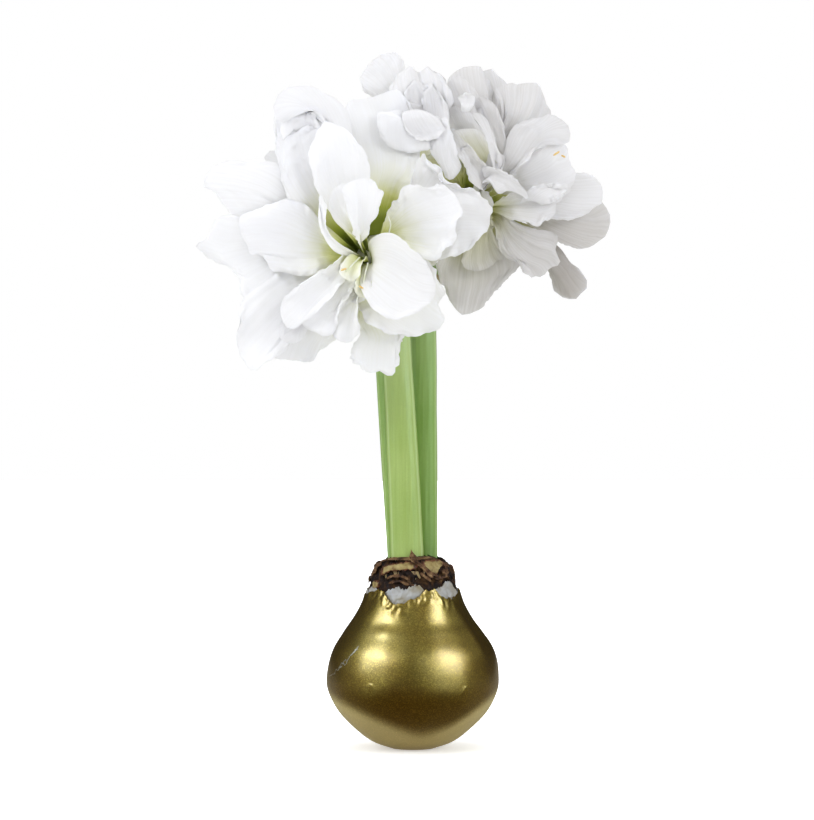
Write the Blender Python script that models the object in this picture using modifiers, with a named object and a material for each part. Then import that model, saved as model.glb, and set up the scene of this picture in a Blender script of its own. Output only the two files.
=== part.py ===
"""Waxed amaryllis: a bulb coated in gold wax, with three green stems and three double white blooms.

Metres, +Z up. The origin is the centre of the flat spot that the bulb stands on, and the front is -Y.
The sizes below are in millimetres; each mesh is turned into metres where it is made.
"""
import math

import bmesh
import bpy
import numpy as np

MM = 0.001
GAP = 0.3  # between pieces that touch

# Wax coat and bulb: outer profile of the gold wax as (radius, height), from the flat spot to the neck.
COAT_PROFILE = [(12.0, 0.0), (22.0, 3.6), (30.4, 9.6), (41.2, 20.6), (46.9, 33.0), (47.2, 41.0),
                (44.6, 53.6), (38.4, 64.0), (33.2, 71.0), (28.8, 79.0), (25.6, 88.0), (24.2, 96.0)]
FLAT_RADIUS = COAT_PROFILE[0][0]
COAT_WALL = 1.2
COAT_RIM = 84.5            # mean height of the ragged gold edge
COAT_RIM_START = 70.0      # the coat is even below this height
COAT_RIM_WAVES = [(3.0, 2, 0.6), (1.6, 5, 2.1), (0.9, 9, 0.4)]  # (height, waves round, phase)
# White first coat of wax, seen above the gold, and the dry brown tunic, seen above the white.
UNDERCOAT_WALL = 0.9
UNDERCOAT_BOTTOM = 70.0
UNDERCOAT_RIM = 90.0
UNDERCOAT_RIM_START = 82.0
UNDERCOAT_RIM_WAVES = [(1.4, 3, 1.0), (0.9, 7, 2.6)]
TUNIC_WALL = 0.8
TUNIC_BOTTOM = 80.0
TUNIC_RIM = 103.6
TUNIC_RIM_START = 90.0
TUNIC_RIM_WAVES = [(2.6, 1, 3.1), (1.2, 4, 0.3), (0.9, 9, 1.2), (0.6, 14, 2.0)]
TUNIC_TOP_RADIUS = 21.6
NECK_TOP = 98.0            # the cut top of the bulb, below the tunic's torn edge
TURN_STEPS = 32

SOCKET_FLOOR = 84.0        # the stems stand in sockets in the bulb's neck

# Stems: half width and half depth at the root, the share of it left at the top, the route of the scape,
# and then the route of its flower stalk, which ends in the ovary behind a bloom.
STEMS = {
    "front": dict(
        half=(9.1, 6.0), taper=0.84,
        scape=[(-2.0, -9.5, 84.3), (-5.0, -9.0, 150), (-8.0, -6.5, 206), (-10.5, -4.0, 240)],
        stalk=[(-13.0, 1.5, 251.0), (-18.0, 4.5, 258.5), (-22.8, -1.0, 263.5)]),
    "right": dict(
        half=(7.0, 5.2), taper=0.95,
        scape=[(6.8, 9.4, 84.3), (6.6, 9.4, 150), (6.8, 10.0, 206), (7.5, 12.0, 260)],
        stalk=[(11.5, 20.0, 274.0), (18.5, 30.0, 285.0), (24.6, 31.5, 292.3)]),
    "left": dict(
        half=(6.8, 5.0), taper=0.95,
        scape=[(-5.8, 2.5, 84.3), (-9.4, 5.0, 140), (-13.4, 11.0, 200), (-17.0, 22.0, 284)],
        stalk=[(-15.0, 28.0, 300.0), (-9.0, 35.0, 315.0), (-1.3, 35.8, 328.5)]),
}
SCAPE_RINGS = 8
# Flower stalk and ovary: (share of the stalk's length, radius)
STALK_SECTIONS = [(0.12, 5.2), (0.22, 4.0), (0.4, 3.6), (0.58, 3.6),
                  (0.72, 4.6), (0.82, 5.6), (0.91, 5.6), (1.0, 4.8)]
OVARY_LENGTH = 4.0         # straight run along the bloom's axis at the ovary's end
SIDES = 12                 # of a stem, stalk or floral tube

# Papery bracts at the top of each scape: root and tip of each blade.
BRACTS = {
    "front": [((-17.0, -2.0, 239.0), (-27.0, 7.0, 268.0)), ((-4.5, -4.0, 239.0), (1.5, -9.0, 267.0))],
    "right": [((1.8, 8.0, 259.0), (-3.5, 12.0, 286.0)), ((5.5, 16.6, 259.0), (1.0, 34.0, 282.0))],
    "left": [((-23.0, 22.0, 283.0), (-33.0, 26.0, 308.0)), ((-18.5, 27.6, 283.0), (-23.0, 43.0, 304.0))],
}
BRACT_WIDTH = 12.0
BRACT_WALL = 0.8
BRACT_ROOT = 3.0           # how far a bract's root is sunk below the collar's lower edge
BRACT_BOW = 2.0
COLLAR_GROWTH = 1.7        # how far the bracts' collar stands out from the scape
COLLAR_START = 0.955       # where it starts, as a share of the scape's length

# Blooms. The throat is where the petals part; the floral tube runs back from it along the axis.
TUBE_LENGTH = 30.0
TUBE_RADIUS = 4.6          # ring on which the petals' claws stand, sunk in the tube
TUBE_SECTIONS = [(0.0, 5.2), (5.0, 6.6), (10.0, 8.4), (15.0, 10.4)]  # (distance along the axis, radius)
CLAW_ANGLE = 22.0
RING_SHARE = 0.1           # petals that stand further forward root further in, for each mm of depth
PETAL_THICKNESS = 0.8
THROATS = {
    "left": dict(throat=(-25.2, -38.0, 275.5), axis=(-0.06, -0.95, 0.30), size=0.966),
    "right": dict(throat=(38.0, -4.0, 305.5), axis=(0.30, -0.82, 0.30), size=1.0),
    "top": dict(throat=(2.9, 4.0, 354.0), axis=(0.10, -0.75, 0.60), size=1.0),
}


def petal(left, tip, right, depth, cup=0.25, ruffle=1.2, phase=0.0, grid=(7, 5)):
    """One petal's design, in millimetres from its bloom's throat.

    left and right are (x, z) points of its two edges, from the throat out to the tip and back again.
    depth is the y of the midrib half way and at the tip; cup lifts the edges towards the front.
    """
    return dict(left=left, tip=tip, right=right, depth=depth, cup=cup, ruffle=ruffle, phase=phase, grid=grid)


SMALL = (5, 3)
PETALS = {
    "left": [
        # outer petals, clockwise from the top
        petal([(-40, 42), (-50, 66), (-50, 79), (-45, 85)], (-38, 86.5), [(-29, 85.5), (-20, 80),
              (-9, 73), (0, 50)], (-4, 2), phase=0.4),
        petal([(-8, 40), (-10, 60), (-9, 76)], (5, 82), [(15, 84.5), (17, 78), (14, 60), (10, 40)],
              (10, 24), cup=0.15, phase=1.1),
        petal([(4, 30), (8, 48), (14, 60)], (24, 60), [(31, 50), (31, 43), (26, 31), (14, 17)], (7, 22),
              phase=2.0),
        petal([(28, 24), (42, 34), (57, 31.5), (65, 23)], (72, 17.5), [(69.5, 10), (67, 4), (58, -1),
              (50, -7), (40, -13), (26, -6)], (-14, -14), ruffle=2.4, phase=0.8),
        petal([(24, -10), (36, -12), (41, -26), (42.5, -38), (41, -45)], (35, -51), [(24, -50.5),
              (14, -44), (6, -30)], (-16, -12), phase=2.6),
        petal([(12, -30), (21, -50), (18.5, -58), (19, -68)], (14, -72.5), [(5, -72), (-4, -67),
              (-9, -60), (-4, -48), (-3, -36), (-4, -25)], (-15, -8), phase=0.2),
        petal([(-8, -30), (-16, -50), (-22, -56)], (-31, -66), [(-42, -64), (-54, -64), (-48, -45),
              (-30, -25)], (-6, 2), phase=1.5),
        petal([(-12, -20), (-30, -44), (-42, -60), (-54, -65)], (-62, -69.5), [(-68, -60), (-70.5, -50),
              (-68, -34), (-58, -24), (-46, -15), (-24, -8)], (-17, -15), phase=2.2),
        petal([(-36, -28), (-55, -36), (-66, -33)], (-70, -27), [(-70, -20), (-66, -12), (-45, -5)],
              (-8, -2), phase=0.9),
        petal([(-45, -20), (-64, -22), (-77, -13), (-88, -7)], (-94.5, -1.5), [(-85, 5), (-84, 13),
              (-77, 15.5), (-62, 12), (-40, 6)], (-12, -6), phase=0.5),
        petal([(-35, 8), (-52, 16), (-66, 14), (-76, 16), (-85, 28)], (-89, 32), [(-86, 39), (-76, 46),
              (-64, 44), (-50, 50), (-36, 40), (-24, 24)], (-13, -8), phase=1.9),
        petal([(-30, 30), (-46, 42)], (-57, 47), [(-53, 51), (-30, 46)], (0, 8)),
        # inner petals
        petal([(-34, 20), (-46, 38), (-50, 55), (-49.5, 64)], (-40, 70.5), [(-29, 71.5), (-26, 60),
              (-22, 40)], (-14, -16), ruffle=2.6, phase=1.0),
        petal([(-17, 18), (-25, 36), (-28, 50), (-25, 60)], (-21, 65), [(-13, 61.5), (-5, 54), (1, 41),
              (0, 25)], (-23, -26), ruffle=0.8),
        petal([(18, 28), (26, 40), (30.5, 49.5)], (35, 44), [(40, 37), (42, 33), (32, 22), (18, 12)],
              (-13, -8)),
        petal([(10, 20), (18, 29), (30, 32.5), (42, 31)], (50.5, 14), [(50, 8), (46, -1), (38, -9),
              (24, -6), (10, 0)], (-24, -27), ruffle=0.8, phase=1.4),
        petal([(1, 2.5), (8, 5.2), (16, 4), (24, -3), (32, -13)], (38, -24), [(33, -36), (24, -40.5),
              (13, -41), (4, -38), (0, -30), (3, -18)], (-33, -36), cup=0.4, ruffle=0.2),
        petal([(-2, -34), (-3, -42), (-5, -50)], (-9, -54.5), [(-18, -51), (-20, -45), (-16, -37),
              (-9, -28)], (-20, -22), cup=0.4, grid=SMALL),
        petal([(-8, -20), (-13, -31), (-19, -42)], (-24, -49), [(-32, -46), (-30, -34), (-20, -20)],
              (-22, -22), grid=(6, 3)),
        petal([(-14, -16), (-24, -30), (-33, -42)], (-41, -47), [(-46.5, -41), (-46, -33), (-42, -26),
              (-30, -18), (-14, -9)], (-27, -29), ruffle=0.8),
        petal([(-16, -9), (-28, -17), (-42, -18), (-55, -13), (-62, -6.5)], (-66, -3), [(-64, 3),
              (-45, 6), (-25, 4)], (-21, -22), phase=2.4),
        petal([(-30, -2), (-48, 0), (-62, 4), (-68, 4)], (-69.5, 10), [(-66, 15.5), (-58, 18), (-48, 25),
              (-38, 24), (-26, 16), (-14, 6)], (-27, -30), phase=0.3),
        # small petaloids in the throat
        petal([(-5, 0), (-8, 9), (-14, 17), (-18.5, 23), (-17, 29)], (-2, 34.5), [(5, 34), (9.5, 29),
              (8.5, 22), (5, 14), (1.5, 7), (-1, -1)], (-33, -40), cup=0.3, grid=(7, 5)),
        petal([(-12, -7), (-18, -3.5), (-22.5, 3), (-25.5, 12), (-26, 20)], (-25, 28), [(-22.5, 22),
              (-20.5, 20), (-21.5, 12), (-20, 4), (-15, -2.5), (-9, -5)], (-28, -36), ruffle=0.1,
              grid=(6, 3)),
        petal([(-1, -9), (-4, -17)], (-8, -20.5), [(-14, -17), (-13, -11), (-8, -6)], (-20, -24), cup=0.8,
              ruffle=0.3, grid=SMALL),
        petal([(2, -12), (2.5, -26)], (-2, -32), [(-6, -30), (-4, -20), (-3, -12)], (-20, -24), cup=0.8,
              ruffle=0.3, grid=SMALL),
    ],
    "right": [
        # outer petals, clockwise from the top
        petal([(-12, 45), (-18, 57), (-19, 63), (-14, 67)], (-5, 70), [(3, 68), (10, 63.5), (14, 59),
              (10, 40)], (-4, 8), phase=0.3),
        petal([(6, 45), (10, 58), (17, 59.8)], (31, 58.5), [(36, 49), (39, 41), (28, 34), (14, 20)],
              (-8, 2), ruffle=2.0, phase=1.7),
        petal([(24, 20), (36, 24.5), (46, 21)], (51, 16), [(52, 8), (40, 2), (26, -2), (12, 0)],
              (-12, -10), phase=0.6),
        petal([(36, 10), (50, 12), (60, 9)], (67, 0), [(64, -8), (55, -14), (45, -15.5), (30, -12),
              (14, -5)], (-6, -2), phase=2.2),
        petal([(40, -6), (58, -5), (68, -8)], (71.5, -17), [(67, -27), (58, -30), (46, -30), (30, -22),
              (14, -10)], (0, 8), phase=1.2),
        petal([(36, -24), (46, -32), (54, -43)], (57.5, -52), [(50, -59), (42, -57), (38, -48),
              (28, -34)], (8, 20), phase=0.4),
        petal([(24, -16), (38, -21), (42, -28), (42, -36)], (33, -46.5), [(24, -43), (16, -35), (9, -22)],
              (-12, -10), phase=1.9),
        petal([(20, -25), (20, -39), (12, -52), (3, -61)], (-7, -66.5), [(-16, -62), (-23, -53),
              (-26, -42), (-18, -25)], (-3, 4), phase=0.8),
        petal([(-8, -18), (-22, -30)], (-38, -26), [(-44, -12), (-30, -2), (-16, 2)], (2, 10), phase=2.5),
        petal([(-20, 2), (-38, 4)], (-46, 14), [(-40, 26), (-26, 24), (-14, 16)], (4, 12), phase=1.0),
        petal([(-22, 36), (-32, 50), (-38, 64)], (-34, 68.5), [(-27, 68), (-20, 63), (-17, 52),
              (-12, 36)], (-12, -10), phase=0.1),
        # inner petals
        petal([(8, -16), (10, -27), (13.5, -35), (7, -40)], (-1, -44.5), [(-8, -42), (-9, -36),
              (-2, -24)], (-10, -10), grid=(7, 5)),
        petal([(12, 0), (24, 2), (36, 4.5), (46, 4)], (43, -6), [(37, -17), (30, -19.5), (18, -14),
              (8, -9)], (-19, -22), phase=2.0),
        petal([(12, 28), (20, 38), (32, 41.5), (42, 40)], (49.5, 35), [(46, 27), (36, 23), (26, 16),
              (14, 10)], (-18, -16), phase=1.3),
        petal([(0, 30), (-4, 45), (-3, 57)], (-1, 61), [(6, 50), (12, 38), (14, 24), (12, 12)],
              (-16, -10), cup=0.6, grid=(6, 3)),
        petal([(-18, 32), (-22, 42), (-20, 52)], (-13, 57), [(-6, 54), (-3, 44), (-4, 34)], (-16, -12),
              phase=0.7, grid=(6, 3)),
        petal([(-8, 18), (-11, 10)], (-18, 6.5), [(-22, 16), (-25, 25), (-18, 32)], (-19, -21),
              grid=SMALL),
        # small petaloids in the middle
        petal([(-2, 28), (-6, 38)], (-5, 44), [(2, 38), (7, 28), (8, 16)], (-23, -23), cup=0.6,
              grid=SMALL),
        petal([(-10, 42), (-13, 50)], (-11, 54), [(-4, 53), (-5, 45), (-4, 40)], (-21, -24), grid=SMALL),
        petal([(-14, 22), (-17, 32)], (-8, 34.5), [(1, 33), (4, 22)], (-20, -27), cup=0.6, grid=SMALL),
        petal([(8, 12), (16, 8), (22, 3)], (24.5, -4), [(16, -1), (8, 0), (0, 4)], (-25, -27),
              grid=SMALL),
        petal([(10, 0), (10, -3)], (6, -6.5), [(0, -3), (-5, 4), (-14, 20)], (-26, -29), grid=SMALL),
    ],
    "top": [
        petal([(-18, 2), (-28, 4.5), (-32, 13), (-28, 20)], (-20, 28), [(-12, 27), (-7.5, 21), (-8, 14),
              (-6, 6)], (-4, 4), phase=0.6),
        petal([(-10, 4), (-17, 8), (-14, 14)], (-7, 20), [(-1, 19), (2, 12), (2, 4)], (-6, 2), phase=1.6),
        petal([(12, -13), (12, -22), (4, -25)], (-10, -24.5), [(-20, -20), (-23, -10), (-20, -1),
              (-10, 3)], (-35, -41), cup=0.3),
        petal([(0, 8), (4, 14)], (11, 16), [(18, 8), (14, 0)], (2, 12), phase=2.1),
        petal([(12, 4), (24, 6)], (34, -2), [(26, -14), (10, -10)], (8, 20), phase=0.9),
        petal([(14, -20), (8, -34)], (-4, -38), [(-14, -32), (-10, -14)], (10, 22), phase=1.3),
        petal([(-10, -10), (-24, -16)], (-36, -10), [(-34, 0), (-16, 4)], (4, 16), phase=2.7),
        petal([(-4, 4), (-9, 10)], (-5, 14), [(0, 12), (2, 4)], (-14, -14), grid=SMALL),
        petal([(4, 2), (3, 9)], (8, 12), [(13, 7), (10, -1)], (-10, -8), grid=SMALL),
        petal([(-8, -6), (-14, -4)], (-16, 2), [(-12, 6), (-6, 3)], (-16, -18), grid=SMALL),
    ],
}

for old in list(bpy.data.objects):
    bpy.data.objects.remove(old, do_unlink=True)
part = bpy.data.collections.new("amaryllis_bulb")
bpy.context.scene.collection.children.link(part)


def make_material(name, colour, roughness, metallic=0.0):
    """A plain Principled material."""
    material = bpy.data.materials.new(name)
    material.use_nodes = True
    shader = material.node_tree.nodes["Principled BSDF"]
    shader.inputs["Base Color"].default_value = (*colour, 1.0)
    shader.inputs["Roughness"].default_value = roughness
    shader.inputs["Metallic"].default_value = metallic
    return material


GOLD = make_material("gold wax", (0.42, 0.31, 0.09), 0.28, 0.9)
WHITE_WAX = make_material("white wax", (0.86, 0.84, 0.78), 0.45)
SKIN = make_material("bulb flesh", (0.72, 0.63, 0.45), 0.7)
PAPER = make_material("dry tunic", (0.36, 0.21, 0.10), 0.8)
BRACT = make_material("dry bract", (0.66, 0.60, 0.42), 0.75)
GREEN = make_material("green stem", (0.28, 0.46, 0.16), 0.5)
PETAL = make_material("white petal", (0.90, 0.90, 0.88), 0.5)


def unit(vector):
    """The vector at length one."""
    vector = np.asarray(vector, float)
    return vector / np.linalg.norm(vector, axis=-1, keepdims=True)


def smooth_line(points, count=200):
    """Points along the smooth curve through the given ones, with chord-length spacing."""
    points = np.asarray(points, float)
    steps = np.linalg.norm(np.diff(points, axis=0), axis=1) ** 0.75
    knots = np.concatenate(([0.0], np.cumsum(steps)))
    slopes = np.gradient(points, knots, axis=0)
    at = np.linspace(0.0, knots[-1], count)
    k = np.clip(np.searchsorted(knots, at, side="right") - 1, 0, len(points) - 2)
    h = (knots[k + 1] - knots[k])[:, None]
    u = (at - knots[k])[:, None] / h
    return ((2 * u**3 - 3 * u**2 + 1) * points[k] + (u**3 - 2 * u**2 + u) * h * slopes[k]
            + (3 * u**2 - 2 * u**3) * points[k + 1] + (u**3 - u**2) * h * slopes[k + 1])


def along(line, fractions):
    """The points of a line at the given fractions of its length."""
    run = np.concatenate(([0.0], np.cumsum(np.linalg.norm(np.diff(line, axis=0), axis=1))))
    return np.stack([np.interp(run[-1] * fractions, run, line[:, i]) for i in range(line.shape[1])], 1)


def new_object(name, mesh, material):
    """Put a mesh in the part's collection as an object with its material."""
    obj = bpy.data.objects.new(name, mesh)
    mesh.materials.clear()
    mesh.materials.append(material)
    part.objects.link(obj)
    return obj


def mesh_from(name, points, edges, faces):
    """A mesh of millimetre points, in metres."""
    mesh = bpy.data.meshes.new(name)
    mesh.from_pydata([tuple(point * MM) for point in np.asarray(points, float)], edges, faces)
    mesh.validate()
    return mesh


def freeze(obj):
    """Apply an object's modifiers to its mesh."""
    bpy.context.view_layer.update()
    evaluated = obj.evaluated_get(bpy.context.evaluated_depsgraph_get())
    mesh = bpy.data.meshes.new_from_object(evaluated)
    obj.modifiers.clear()
    obj.data = mesh
    return obj


def turned(name, profile, material):
    """Turn a profile, given in millimetres from its top to its bottom, about the Z axis."""
    points = [(radius, 0.0, height) for radius, height in profile]
    edges = [(i, i + 1) for i in range(len(points) - 1)]
    obj = new_object(name, mesh_from(name, points, edges, []), material)
    screw = obj.modifiers.new("turn", "SCREW")
    screw.steps = TURN_STEPS
    screw.render_steps = TURN_STEPS
    screw.use_merge_vertices = True
    screw.merge_threshold = 0.00001
    screw.use_smooth_shade = True
    return freeze(obj)


def solidify(obj, thickness, offset):
    """Give an open surface its thickness: offset -1 is inwards, 0 to both sides."""
    wall = obj.modifiers.new("wall", "SOLIDIFY")
    wall.thickness = thickness * MM
    wall.offset = offset
    wall.use_even_offset = offset != 0
    return freeze(obj)


def boolean(obj, operation, others):
    """Join or cut an object with a list of closed objects, and remove those."""
    tools = bpy.data.collections.new(obj.name + " tools")
    bpy.context.scene.collection.children.link(tools)
    for other in others:
        for owner in list(other.users_collection):
            owner.objects.unlink(other)
        tools.objects.link(other)
        other.hide_render = True
        other.display_type = "WIRE"
    change = obj.modifiers.new(operation.lower(), "BOOLEAN")
    change.operation = operation
    change.operand_type = "COLLECTION"
    change.collection = tools
    change.solver = "MANIFOLD"
    freeze(obj)
    for other in others:
        bpy.data.objects.remove(other, do_unlink=True)
    bpy.data.collections.remove(tools)
    return obj


def keep_largest_body(obj):
    """Drop the loose scraps of a Boolean: all but the largest group of faces that share edges."""
    edit = bmesh.new()
    edit.from_mesh(obj.data)
    left = set(edit.faces)
    bodies = []
    while left:
        stack = [left.pop()]
        body = set(stack)
        while stack:
            for edge in stack.pop().edges:
                for face in edge.link_faces:
                    if face in left and len(edge.link_faces) == 2:
                        left.discard(face)
                        body.add(face)
                        stack.append(face)
        bodies.append(body)
    bodies.sort(key=len, reverse=True)
    scraps = [face for body in bodies[1:] for face in body]
    bmesh.ops.delete(edit, geom=scraps, context="FACES")
    edit.to_mesh(obj.data)
    edit.free()


def shade(obj, angle=35.0):
    """Shade smooth but for the sharp edges."""
    obj.data.shade_smooth()
    obj.data.set_sharp_from_angle(angle=math.radians(angle))


# The bulb, its tunic and its two coats of wax -------------------------------------------------------

PROFILE_LINE = smooth_line(COAT_PROFILE, 400)


def coat_radius(height, inset=0.0):
    """Radius at a height of the wax coat's outer face, or of a surface set in from it."""
    slope = np.gradient(PROFILE_LINE, axis=0)
    outward = unit(np.stack((slope[:, 1], -slope[:, 0]), 1))
    line = PROFILE_LINE - outward * inset
    return np.interp(height, line[:, 1], line[:, 0])


def rim_height(mean, waves, angle):
    """Height of a ragged edge: a mean with a few waves round it."""
    return mean + sum(size * math.cos(count * angle + phase) for size, count, phase in waves)


def ragged(obj, bottom, mean, waves, radius_at):
    """Stretch a turned shell so that its upper edge follows the ragged rim."""
    for vert in obj.data.vertices:
        height = vert.co.z / MM
        if height > bottom:
            angle = math.atan2(vert.co.y, vert.co.x)
            share = (height - bottom) / (mean - bottom)
            height = bottom + share * (rim_height(mean, waves, angle) - bottom)
            radius = float(radius_at(height))
            vert.co = (radius * math.cos(angle) * MM, radius * math.sin(angle) * MM, height * MM)


def tunic_radius(height):
    """Outer radius of the tunic: inside the undercoat below its rim, then closing to the ragged top."""
    low = float(coat_radius(UNDERCOAT_RIM, COAT_WALL + GAP + UNDERCOAT_WALL + GAP))
    under = coat_radius(height, COAT_WALL + GAP + UNDERCOAT_WALL + GAP)
    open_part = np.interp(height, [UNDERCOAT_RIM, TUNIC_RIM], [low, TUNIC_TOP_RADIUS])
    return np.where(height < UNDERCOAT_RIM, under, open_part)


def build_wax_and_bulb():
    """The turned pieces: gold coat, white undercoat, papery tunic and the bulb itself."""
    heights = [COAT_RIM, 79, 74, 69, 62, 54, 46, 38, 30, 22, 14, 7.5, 2.8, 0.0]
    profile = [(float(coat_radius(height)), height) for height in heights] + [(0.0, 0.0)]
    coat = turned("wax_coat", profile, GOLD)
    ragged(coat, COAT_RIM_START, COAT_RIM, COAT_RIM_WAVES, coat_radius)
    solidify(coat, COAT_WALL, -1)
    shade(coat)

    inset = COAT_WALL + GAP
    heights = [UNDERCOAT_RIM, 86, 81, 75, UNDERCOAT_BOTTOM]
    profile = [(float(coat_radius(height, inset)), height) for height in heights]
    under = turned("wax_undercoat", profile, WHITE_WAX)
    ragged(under, UNDERCOAT_RIM_START, UNDERCOAT_RIM, UNDERCOAT_RIM_WAVES,
           lambda height: coat_radius(height, inset))
    solidify(under, UNDERCOAT_WALL, -1)
    shade(under)

    heights = [TUNIC_RIM, 98, 93, 88, TUNIC_BOTTOM]
    profile = [(float(tunic_radius(height)), height) for height in heights]
    tunic = turned("tunic", profile, PAPER)
    ragged(tunic, TUNIC_RIM_START, TUNIC_RIM, TUNIC_RIM_WAVES, tunic_radius)
    solidify(tunic, TUNIC_WALL, -1)
    shade(tunic)

    neck = [(0.0, NECK_TOP), (float(tunic_radius(NECK_TOP)) - TUNIC_WALL - GAP, NECK_TOP)]
    for height in (93.0, 88.0, TUNIC_BOTTOM - 1.0):
        neck.append((float(tunic_radius(height)) - TUNIC_WALL - GAP, height))
    for height in (TUNIC_BOTTOM - 1.5, 75.0, UNDERCOAT_BOTTOM - 1.0):
        neck.append((float(coat_radius(height, inset + UNDERCOAT_WALL + GAP)), height))
    for height in (UNDERCOAT_BOTTOM - 1.6, 62, 54, 46, 38, 30, 22, 14, 7.5, 3.2):
        neck.append((float(coat_radius(height, inset + 0.1)), height))
    neck += [(FLAT_RADIUS - 2.0, inset + 0.1), (0.0, inset + 0.1)]
    bulb = turned("bulb", neck, SKIN)
    sockets = []
    for key, stem in STEMS.items():
        line = np.linspace(stem["scape"][0], stem["scape"][1], 6)[:3]
        line[0, 2] = SOCKET_FLOOR
        size = np.repeat(np.array([stem["half"]]) + GAP, 3, axis=0)
        sockets.append(loft("socket " + key, line, size, SKIN))
    boolean(bulb, "DIFFERENCE", sockets)
    shade(bulb)


# Stems and bracts -----------------------------------------------------------------------------------

def loft(name, line, half, material, grow=0.0):
    """A closed tube of elliptical sections along a line; half holds each section's half width and depth."""
    line = np.asarray(line, float)
    tangent = unit(np.gradient(line, axis=0))
    wide = unit(np.cross(np.array((0.0, 1.0, 0.0)), tangent))
    deep = np.cross(tangent, wide)
    angle = np.linspace(0.0, 2.0 * math.pi, SIDES, endpoint=False)
    half = np.asarray(half, float) + grow
    rings = (line[:, None] + wide[:, None] * (half[:, :1] * np.cos(angle))[..., None]
             + deep[:, None] * (half[:, 1:] * np.sin(angle))[..., None])
    rows = len(line)
    faces = []
    for i in range(rows - 1):
        for j in range(SIDES):
            k = (j + 1) % SIDES
            faces.append((i * SIDES + j, i * SIDES + k, (i + 1) * SIDES + k, (i + 1) * SIDES + j))
    faces.append(tuple(range(SIDES - 1, -1, -1)))
    faces.append(tuple((rows - 1) * SIDES + j for j in range(SIDES)))
    return new_object(name, mesh_from(name, rings.reshape(-1, 3), [], faces), material)


def bloom_base(key):
    """Where the floral tube starts, and its axis."""
    bloom = THROATS[key]
    axis = unit(bloom["axis"])
    return np.array(bloom["throat"]) - axis * TUBE_LENGTH, axis


def stem_sections(key):
    """Centre line and half sizes of a scape with its flower stalk and ovary, from root to bloom."""
    stem = STEMS[key]
    base, axis = bloom_base({"front": "left", "right": "right", "left": "top"}[key])
    end = base - axis * GAP
    line = smooth_line(stem["scape"] + stem["stalk"] + [tuple(end - axis * OVARY_LENGTH), tuple(end)], 600)
    top = stem["scape"][-1][2]
    split = int(np.argmax(line[:, 2] > top))
    scape = along(line[:split + 1], np.linspace(0, 1, SCAPE_RINGS))
    shares, radii = np.array(STALK_SECTIONS).T
    stalk = along(line[split:], shares)
    narrow = 1.0 + (stem["taper"] - 1.0) * np.linspace(0, 1, SCAPE_RINGS)[:, None]
    scape_half = np.array([stem["half"]]) * np.concatenate((narrow, 1 + (narrow - 1) * 0.4), 1)
    return np.vstack((scape, stalk)), np.vstack((scape_half, np.stack((radii, radii), 1)))


def build_stems():
    """Each scape, flower stalk and ovary as one tube, and the bracts in a collar round its top."""
    for key in STEMS:
        line, half = stem_sections(key)
        stem = loft("stem_" + key, line, half, GREEN)
        shade(stem)
        top = SCAPE_RINGS - 1
        collar_line = along(line[:top + 1], np.array((COLLAR_START, 1.0)))
        collar_half = np.repeat(half[top:top + 1], 2, axis=0)
        collar = loft("spathe_" + key, collar_line, collar_half, BRACT, COLLAR_GROWTH)
        blades = [bract(number, root, tip, collar_line[0]) for number, (root, tip) in enumerate(BRACTS[key])]
        boolean(collar, "UNION", blades)
        boolean(collar, "DIFFERENCE", [loft("clearance", line, half, BRACT, GAP)])
        keep_largest_body(collar)
        shade(collar)


def bract(number, root, tip, centre):
    """A dry pointed bract: a blade from its root to its tip, hollow towards the stem."""
    root = np.array(root)
    tip = np.array(tip)
    out = unit((root - centre) * np.array((1.0, 1.0, 0.0)))
    middle = (root + tip) / 2 + out * BRACT_BOW
    foot = root - np.array((0, 0, BRACT_ROOT))
    line = along(smooth_line([foot, root + out, middle, tip]), np.linspace(0, 1, 6))
    tangent = unit(np.gradient(line, axis=0))
    side = unit(np.cross(tangent, out))
    share = np.linspace(0, 1, 6)
    half = BRACT_WIDTH / 2 * np.sqrt(np.clip(1.02 - share ** 1.6, 0, 1)) * (0.75 + 0.5 * share * (1 - share))
    across = np.linspace(-1, 1, 3)
    points = (line[:, None] + side[:, None] * (half[:, None] * across)[..., None]
              - out * (0.35 * half[:, None] * across ** 2)[..., None])
    return sheet("bract %d" % number, points, BRACT_WALL, BRACT)


# Blooms ---------------------------------------------------------------------------------------------

def sheet(name, points, thickness, material):
    """A closed sheet of the given thickness from a grid of points, split into triangles alike."""
    rows, columns = points.shape[:2]
    faces = []
    for i in range(rows - 1):
        for j in range(columns - 1):
            a, b = i * columns + j, i * columns + j + 1
            c, d = a + columns, b + columns
            faces += [(a, b, d), (a, d, c)]
    obj = new_object(name, mesh_from(name, points.reshape(-1, 3), [], faces), material)
    edit = bmesh.new()
    edit.from_mesh(obj.data)
    bmesh.ops.remove_doubles(edit, verts=edit.verts, dist=0.0001)
    bmesh.ops.triangulate(edit, faces=edit.faces)
    edit.to_mesh(obj.data)
    edit.free()
    return solidify(obj, thickness, 0)


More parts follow.
